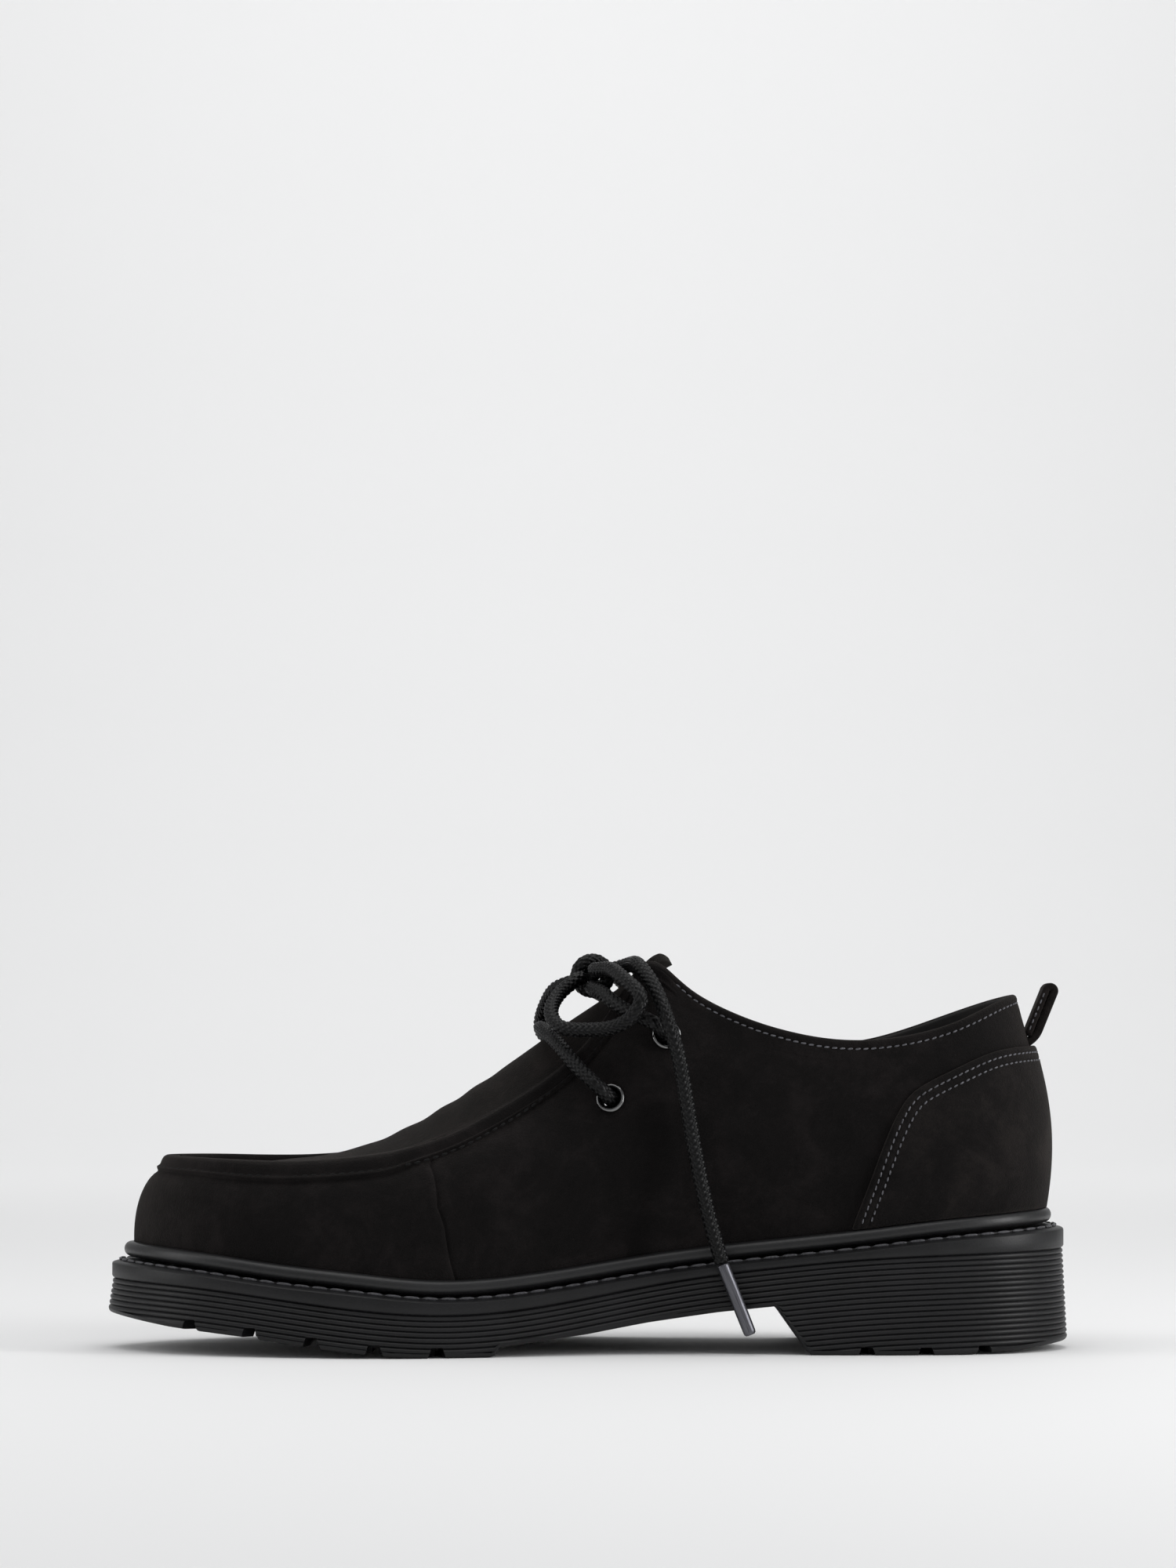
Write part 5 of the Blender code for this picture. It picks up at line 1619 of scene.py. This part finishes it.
def hairpin():
    """Centre line of the strap, from its foot up, over the fold and down behind the collar."""
    t = share_at(0.0, LOOP_FOOT * HEEL_HEIGHT)
    foot = wall_points(0.0, t)[0] + np.array([CLEAR + LOOP_STRAP / 2, 0.0, 0.0])
    axis = np.array([math.sin(LOOP_LEAN), 0.0, math.cos(LOOP_LEAN)])
    away = np.array([math.cos(LOOP_LEAN), 0.0, -math.sin(LOOP_LEAN)])
    spread = LOOP_STRAP + LOOP_SLIT
    path = [foot + axis * LOOP_REACH * share for share in np.linspace(-LOOP_SEAM, 1, 14)]
    for angle in np.linspace(0, math.pi, 14)[1:-1]:
        rise = axis * (LOOP_REACH + spread / 2 * math.sin(angle))
        path.append(foot + rise + away * spread / 2 * (1 - math.cos(angle)))
    for share in np.linspace(1, -LOOP_TAIL, 18):
        sink = np.clip(-share / LOOP_TAIL, 0, 1) ** 2 * spread * 0.8
        path.append(foot + away * (spread - sink) + axis * LOOP_REACH * share)
    return np.array(path)


def strap_section(count=28):
    """Rounded oblong: offsets across the strap and along its width."""
    angles = np.linspace(0, 2 * math.pi, count + 1)[:-1]
    across = np.sign(np.cos(angles)) * np.abs(np.cos(angles)) ** 0.5 * LOOP_STRAP / 2
    width = np.sign(np.sin(angles)) * np.abs(np.sin(angles)) ** 0.22 * LOOP_WIDTH / 2
    return across, width


def build_pull_loop():
    """Sweeps the strap along the hairpin and lays a row of stitches on each of its edges."""
    path = hairpin()
    ahead = unit(np.gradient(path, axis=0))
    side = np.column_stack([-ahead[:, 2], np.zeros(len(path)), ahead[:, 0]])
    across, width = strap_section()
    sections = [np.repeat(path[:1], len(across), axis=0)]
    for spot, way in zip(path, side):
        sections.append(spot + way * across[:, None] + np.array([0, 1, 0]) * width[:, None])
    sections.append(np.repeat(path[-1:], len(across), axis=0))
    piece = grid_piece("folded_pull_loop", np.array(sections), close_v=True, sizes=(0.024, 0.05))
    weld(piece)
    line = path + np.array([[0, -LOOP_WIDTH / 2 + 0.0001, 0]]) + side * LOOP_STRAP * 0.1
    normals = np.tile(np.array([[0.0, -1.0, 0.0]]), (len(line), 1))
    rows = []
    for way in (1, -1):
        rows += stitch_row(line[1:15] * np.array([[1, way, 1]]), normals[1:15] * way, *LOOP_STITCH)
    return piece, rows


pull_loop, loop_rows = build_pull_loop()
finish_piece(pull_loop, NUBUCK_APRON, "webbing", "pull_loop")
stitch_piece("loop_stitches", loop_rows, THREAD_GREY, "webbing")

# %% [markdown]
# ## Eyelets
#
# The eyelets are drawn brass, rolled over at the rim and enamelled gloss black, so each shows one
# sharp highlight. The ring's outline is turned round its own axis and set on the wall.


# %% Build the eyelets
def enamel_material():
    """Gloss black enamel with slight wear."""
    material, tree, shader = start_material("black_enamel_on_brass", {
        "Base Color": linear("#050505"), "Roughness": 0.12, "Metallic": 0.0, "IOR": 2.3,
        "Specular IOR Level": 0.5, "Coat Weight": 0.7, "Coat Roughness": 0.06,
    })
    where = {"Vector": add_node(tree, "ShaderNodeTexCoord").outputs["Object"]}
    wear = add_node(tree, "ShaderNodeTexNoise", None, {"Scale": 900.0, "Detail": 2.0}, where)
    gloss = add_node(
        tree, "ShaderNodeMapRange", None, {"To Min": 0.08, "To Max": 0.18}, {"Value": wear.outputs["Fac"]},
    )
    tree.links.new(gloss.outputs["Result"], shader.inputs["Roughness"])
    return material


ENAMEL = enamel_material()
EYELET_PROFILE = (
    # radius, height off the wall
    (0.00290, -0.0032),
    (0.00320, -0.0032),
    (0.00330, -0.0020),
    (0.00330, 0.0002),
    (0.00462, 0.0002),
    (0.00460, 0.0006),
    (0.00446, 0.0010),
    (0.00424, 0.0013),
    (0.00396, 0.00146),
    (0.00366, 0.00142),
    (0.00336, 0.0012),
    (0.00312, 0.0008),
    (0.00296, 0.0002),
    (0.00290, -0.0006),
)
EYELET_STEPS = 56


def build_eyelet(row, side):
    """Turns the eyelet's profile round its axis and sets it on the wall."""
    place, normal = eyelet_frame(row, side)
    turn = np.array(Vector((0, 0, 1)).rotation_difference(normal).to_matrix())
    angles = np.linspace(0, 2 * math.pi, EYELET_STEPS + 1)[:-1]
    sections = []
    for angle in angles:
        ring = np.array([(r * math.cos(angle), r * math.sin(angle), h) for r, h in EYELET_PROFILE])
        sections.append(ring @ turn.T + np.array(place))
    piece = grid_piece(f"rolled_eyelet_{row[0]}_{side}", np.array(sections), close_u=True, close_v=True)
    weld(piece)
    return finish_piece(piece, ENAMEL, "black_metal", f"eyelet_{row[0]}_{side}")


for eyelet_row in EYELETS:
    for eyelet_side in SIDES:
        build_eyelet(eyelet_row, eyelet_side)

# %% [markdown]
# ## Braided lace
#
# The lace is a round braid of waxed cotton, 4.7 mm thick: two families of strands run round it in
# opposite spirals, over one and under one. That weave is real relief here. Each ring of the tube is
# pushed out where a strand is on top, and the same height, kept as an attribute, paints shade into the
# gaps between the strands and painted light onto their crowns in the material.


# %% Lace material
def lace_material():
    """Waxed braid, with painted shade in the gaps between the strands and painted light on their crowns."""
    material, tree, shader = start_material("waxed_cotton_braid_painted_shade", {
        "Roughness": 0.34, "IOR": 1.45, "Specular IOR Level": 0.24,
        "Sheen Weight": 0.03, "Sheen Roughness": 0.35,
    })
    height = add_node(tree, "ShaderNodeAttribute", {"attribute_name": "strand"})
    tone = add_node(tree, "ShaderNodeAttribute", {"attribute_name": "yarn"})
    where = {"Vector": add_node(tree, "ShaderNodeTexCoord").outputs["Object"]}
    fibre = add_node(
        tree, "ShaderNodeTexNoise", None, {"Scale": 2400.0, "Detail": 2.0, "Roughness": 0.6}, where
    )
    spread = add_node(
        tree, "ShaderNodeMath", {"operation": "MULTIPLY_ADD"}, {1: 0.16},
        {0: tone.outputs["Fac"], 2: height.outputs["Fac"]},
    )
    total = add_node(
        tree, "ShaderNodeMath", {"operation": "MULTIPLY_ADD"}, {1: 0.22},
        {0: fibre.outputs["Fac"], 2: spread.outputs["Value"]},
    )
    ramp = add_node(tree, "ShaderNodeValToRGB", None, None, {"Fac": total.outputs["Value"]})
    # the strand height darkens the gaps as painted shade and lightens the crowns as painted light; yarn and
    # fibre add the braid's own tone
    set_stops(ramp, ((0.32, "#010101"), (0.62, "#040405"), (0.80, "#151516"), (0.96, "#404042")))
    tree.links.new(ramp.outputs["Color"], shader.inputs["Base Color"])
    bump = add_node(
        tree, "ShaderNodeBump", None, {"Strength": 0.4, "Distance": 0.0002},
        {"Height": fibre.outputs["Fac"]},
    )
    tree.links.new(bump.outputs["Normal"], shader.inputs["Normal"])
    return material


LACE = lace_material()

# %% Routes of the lace
KNOT_CENTRE = (0.0015, 0.0, 0.1162)
LOWER_BAR = (
    (-0.0021, -0.0330, 0.0866),
    (-0.0066, -0.0278, 0.0918),
    (-0.0108, -0.0180, 0.0965),
    (-0.0138, -0.0080, 0.0990),
    (-0.0147, 0.0000, 0.0998),
)
UPPER_BAR = (
    (0.0104, -0.0305, 0.1058),
    (0.0054, -0.0240, 0.1098),
    (0.0018, -0.0140, 0.1118),
    (0.0015, -0.0070, 0.1125),
)
INTO_KNOT = (
    (0.0026, -0.0120, 0.1178),
    (0.0022, -0.0080, 0.1179),
    (0.0024, -0.0040, 0.1180),
)
BOW_LOOP = (
    (-0.0020, -0.0034, 0.1156),
    (-0.0030, -0.0062, 0.1151),
    (-0.0052, -0.0080, 0.1136),
    (-0.0080, -0.0100, 0.1112),
    (-0.0104, -0.0145, 0.1080),
    (-0.0113, -0.0205, 0.1046),
    (-0.0088, -0.0275, 0.1002),
    (-0.0004, -0.0325, 0.0990),
    (0.0082, -0.0365, 0.1000),
    (0.0138, -0.0392, 0.1035),
    (0.0161, -0.0392, 0.1082),
    (0.0132, -0.0350, 0.1128),
    (0.0092, -0.0280, 0.1164),
    (0.0056, -0.0185, 0.1180),
    *INTO_KNOT,
)
FAR_LOOP = (
    (-0.0020, 0.0034, 0.1156),
    (-0.0054, 0.0036, 0.1142),
    (-0.0092, 0.0062, 0.1128),
    (-0.0128, 0.0130, 0.1085),
    (-0.0148, 0.0195, 0.1030),
    (-0.0140, 0.0265, 0.0978),
    (-0.0070, 0.0330, 0.0965),
    (0.0010, 0.0365, 0.0985),
    (0.0086, 0.0388, 0.1008),
    (0.0138, 0.0398, 0.1040),
    (0.0161, 0.0392, 0.1082),
    (0.0132, 0.0350, 0.1128),
    (0.0092, 0.0280, 0.1164),
    (0.0056, 0.0185, 0.1180),
    *[(x, -y, z) for x, y, z in INTO_KNOT],
)
BOW_END = (
    (0.0052, -0.0027, 0.1174),
    (0.0094, -0.0034, 0.1186),
    (0.0122, -0.0068, 0.1194),
    (0.0143, -0.0155, 0.1198),
    (0.0160, -0.0258, 0.1186),
    (0.0198, -0.0338, 0.1130),
    (0.0228, -0.0382, 0.1060),
    (0.0254, -0.0400, 0.0985),
    (0.0277, -0.0400, 0.0903),
    (0.0295, -0.0394, 0.0803),
    (0.0316, -0.0390, 0.0678),
    (0.0345, -0.0392, 0.0523),
    (0.0379, -0.0397, 0.0380),
    (0.0409, -0.0402, 0.0278),
)
FAR_END = (
    (0.0052, 0.0027, 0.1174),
    (0.0094, 0.0034, 0.1186),
    (0.0122, 0.0068, 0.1194),
    (0.0143, 0.0155, 0.1198),
    (0.0162, 0.0262, 0.1186),
    (0.0202, 0.0343, 0.1130),
    (0.0238, 0.0388, 0.1060),
    (0.0275, 0.0405, 0.0985),
    (0.0310, 0.0405, 0.0890),
    (0.0350, 0.0412, 0.0780),
    (0.0410, 0.0425, 0.0640),
    (0.0490, 0.0440, 0.0510),
    (0.0590, 0.0452, 0.0400),
)
BRAID_STEP = 0.00034
BRAID_SIDES = 60
BRAID_STRANDS = 8
BRAID_LEAD = 0.00200
BRAID_DEPTH = 0.00050
BRAID_END = 0.0010
STRAND_ROUND = 0.9
STRAND_TAPER = 0.35
STRAND_SHADE_SHARE = 0.62


def dense_route(points):
    """A smooth line through the route's points, at even steps."""
    route = np.array(points, float)
    knots = run_along(route)
    fine = smooth_spline(knots, route)(np.linspace(0, knots[-1], 800))
    run = run_along(fine)
    even = np.linspace(0, run[-1], max(8, int(run[-1] / BRAID_STEP)))
    return np.column_stack([np.interp(even, run, fine[:, k]) for k in range(3)]), run[-1]


def carried_frames(line):
    """Two directions square to the line at each point, turned as little as possible along it."""
    ahead = unit(np.gradient(line, axis=0))
    side = np.cross(ahead[0], np.array([0.3, 0.2, 1.0]))
    side /= np.linalg.norm(side)
    first = []
    for way in ahead:
        side = side - way * np.dot(side, way)
        side = side / np.linalg.norm(side)
        first.append(side)
    first = np.array(first)
    return first, np.cross(ahead, first)


def braid(name, points):
    """A braided tube along a route, closed at both ends."""
    line, length = dense_route(points)
    first, second = carried_frames(line)
    count = len(line)
    angles = np.linspace(0, 2 * math.pi, BRAID_SIDES + 1)[:-1]
    run = np.linspace(0, length, count)[:, None]
    turn = BRAID_STRANDS * angles[None, :] / (2 * math.pi)
    a = turn + run / BRAID_LEAD
    b = turn - run / BRAID_LEAD
    fa = np.sin(math.pi * np.mod(a, 1.0))
    fb = np.sin(math.pi * np.mod(b, 1.0))
    over = (np.floor(a) + np.floor(b)) % 2 == 0
    height = np.where(
        over, fa ** STRAND_ROUND * fb ** STRAND_TAPER, fb ** STRAND_ROUND * fa ** STRAND_TAPER
    )
    top = np.floor(np.where(over, a, b))
    under = np.floor(np.where(over, b, a))
    yarn = np.mod(np.sin(top * 12.9898 + under * 4.137) * 437.58, 1)
    radius = LACE_DIAMETER / 2 - BRAID_DEPTH * (1 - height)
    ends = np.minimum(np.arange(count), np.arange(count)[::-1])[:, None] * BRAID_STEP
    radius = radius * np.sqrt(np.clip(1 - (1 - np.clip(ends / BRAID_END, 0, 1)) ** 2, 0, 1))
    rings = (
        line[:, None, :]
        + first[:, None, :] * (radius * np.cos(angles))[:, :, None]
        + second[:, None, :] * (radius * np.sin(angles))[:, :, None]
    )
    piece = grid_piece(name, rings, close_v=True, sizes=(0.0148, length))
    # the scaled strand height is kept as the attribute that paints gap shade and crown light in the lace
    # material
    for key, values in (("strand", height * STRAND_SHADE_SHARE), ("yarn", yarn)):
        values = np.concatenate([values, values[:, :1]], axis=1)
        layer = piece.data.attributes.new(key, "FLOAT", "POINT")
        layer.data.foreach_set("value", values.reshape(-1).astype(np.float32))
    weld(piece, 0.000004)
    return piece, line, length


def mirrored(points):
    """The same points on the other side of the shoe."""
    return [(x, -y, z) for x, y, z in points]


# %% Bars over the tongue, through the eyelets
def through_eyelet(row, side, towards):
    """Points from inside the shoe, out through an eyelet and over its rim."""
    place, normal = eyelet_frame(row, side)
    way = Vector(towards) - place
    way -= normal * way.dot(normal)
    way.normalize()
    return [
        tuple(place - normal * 0.0052 - way * 0.0012),
        tuple(place - normal * 0.0022),
        tuple(place + normal * 0.0012 + way * 0.0004),
        tuple(place + normal * 0.0036 + way * 0.0022),
    ]


lower, upper = EYELETS
near_hole = through_eyelet(lower, "medial", LOWER_BAR[0])
far_hole = through_eyelet(lower, "lateral", mirrored(LOWER_BAR[:1])[0])
bar_route = near_hole + list(LOWER_BAR) + mirrored(LOWER_BAR[:-1])[::-1] + far_hole[::-1]
lower_bar, _, bar_length = braid("lace_bar_lower", bar_route)
finish_piece(lower_bar, LACE, "cord", "lace_lower_bar")
print("lower bar, hole to hole:", round(bar_length * 1000), "mm")
for bar_side in SIDES:
    route = list(UPPER_BAR) if bar_side == "medial" else mirrored(UPPER_BAR)
    low_place, low_normal = eyelet_frame(lower, bar_side)
    high_place, high_normal = eyelet_frame(upper, bar_side)
    inside = [
        tuple(low_place - low_normal * 0.0066),
        tuple((low_place + high_place) / 2 - (low_normal + high_normal) * 0.0032),
    ]
    route = inside + through_eyelet(upper, bar_side, route[0]) + route
    upper_bar, _, bar_length = braid(f"lace_bar_upper_{bar_side}", route)
    finish_piece(upper_bar, LACE, "cord", f"lace_upper_{bar_side}")

# %% [markdown]
# ## Bow
#
# The knot is a short core with a band of cord wound round it. Two loops and two hanging ends start in
# its turns, so that no cut end shows. The near loop and end follow the picture. The far ones are its
# rough mirror image, a little looser, because a tied bow is never quite even.

# %% Knot, loops and ends of the bow
KNOT_RING = 0.0047
KNOT_PITCH = 0.0030
KNOT_START = -200
KNOT_STOP = 330


def knot_route():
    """A band of cord wound one and a half times round the base of the loops."""
    x, _, z = KNOT_CENTRE
    points = [(x, -0.0032, z), (x, -0.0010, z), (x, 0.0014, z), (x - 0.0008, 0.0036, z + 0.0004)]
    for angle in np.linspace(KNOT_START, KNOT_STOP, 40):
        turn = math.radians(angle)
        share = (angle - KNOT_START) / (KNOT_STOP - KNOT_START)
        radius = KNOT_RING * min(1.0, 0.60 + share * 4, 0.55 + (1 - share) * 5)
        points.append((
            x + radius * math.cos(turn),
            (0.5 - share) * KNOT_PITCH * 1.5 + 0.0006 * math.sin(2 * turn),
            z + radius * math.sin(turn),
        ))
    return points


knot, knot_line, knot_length = braid("bow_knot", knot_route())
finish_piece(knot, LACE, "cord", "lace_knot")
bow_lengths = {}
for part, side, route, end in (
    ("loop", "medial", BOW_LOOP, "object"),
    ("loop", "lateral", FAR_LOOP, "object"),
    ("end", "medial", BOW_END, "fitting"),
    ("end", "lateral", FAR_END, "fitting"),
):
    name = f"bow_{part}_{side}"
    piece, line, length = braid(name, route)
    finish_piece(piece, LACE, "cord", f"lace_{part}_{side}")
    bow_lengths[name] = (piece, line, length, end)
    print(f"{name}: {length * 1000:.0f} mm")

# %% [markdown]
# ## Lace tips
#
# Each end of the lace is held by a steel sleeve, pressed round it and brushed lengthwise. The turned
# outline runs in at both ends, and fine streaks along the sleeve break up its highlight.


def tip_material():
    """Steel with fine streaks along the sleeve."""
    material, tree, shader = start_material("brushed_steel", {"Metallic": 1.0, "Roughness": 0.36})
    where = {"Vector": add_node(tree, "ShaderNodeTexCoord").outputs["UV"]}
    stretch = add_node(tree, "ShaderNodeMapping", None, {"Scale": (5200.0, 260.0, 1.0)}, where)
    streaks = add_node(
        tree, "ShaderNodeTexNoise", None, {"Scale": 1.0, "Detail": 3.0, "Roughness": 0.6},
        {"Vector": stretch.outputs["Vector"]},
    )
    tone = add_node(tree, "ShaderNodeValToRGB", None, None, {"Fac": streaks.outputs["Fac"]})
    set_stops(tone, ((0.30, "#48484c"), (0.70, "#77777d")))
    tree.links.new(tone.outputs["Color"], shader.inputs["Base Color"])
    gloss = add_node(
        tree, "ShaderNodeMapRange", None, {"To Min": 0.28, "To Max": 0.50},
        {"Value": streaks.outputs["Fac"]},
    )
    tree.links.new(gloss.outputs["Result"], shader.inputs["Roughness"])
    return material


STEEL = tip_material()
TIP_LENGTH = 0.0230
TIP_START = CLEAR - 0.0004
TIP_SIDES = 48
TIP_OUTLINE = (
    # distance along the tip, radius
    (0.0000, 0.0000),
    (0.0000, 0.00175),
    (0.0002, 0.00192),
    (0.0006, 0.00200),
    (0.0060, 0.00198),
    (0.0120, 0.00196),
    (0.0180, 0.00194),
    (0.0218, 0.00190),
    (0.0225, 0.00178),
    (0.0229, 0.00145),
    (0.0230, 0.00090),
    (0.0230, 0.0000),
)
TIP_LINES = {"medial": (0.0085, -0.0006, -0.0213), "lateral": (0.0135, 0.0006, -0.0186)}


def build_tip(side, route):
    """Turns the tip's outline round the line in which the lace ends."""
    way = Vector(TIP_LINES[side]).normalized()
    start = Vector(route[-1]) + way * TIP_START
    across = way.cross(Vector((0, 1, 0))).normalized()
    other = way.cross(across)
    sections = []
    for along, radius in TIP_OUTLINE:
        ring = []
        for angle in np.linspace(0, 2 * math.pi, TIP_SIDES + 1)[:-1]:
            out = across * math.cos(angle) + other * math.sin(angle)
            ring.append(tuple(start + way * along + out * radius))
        sections.append(ring)
    piece = grid_piece(f"lace_tip_{side}", np.array(sections), close_v=True, sizes=(0.0125, TIP_LENGTH))
    weld(piece, 0.000004)
    return finish_piece(piece, STEEL, "steel", f"aglet_{side}")


for tip_side, tip_route in (("medial", BOW_END), ("lateral", FAR_END)):
    tip = build_tip(tip_side, tip_route)
    bow_lengths[f"bow_end_{tip_side}"] += ([tip],)
for name, facts in bow_lengths.items():
    piece, line, length, end = facts[:4]
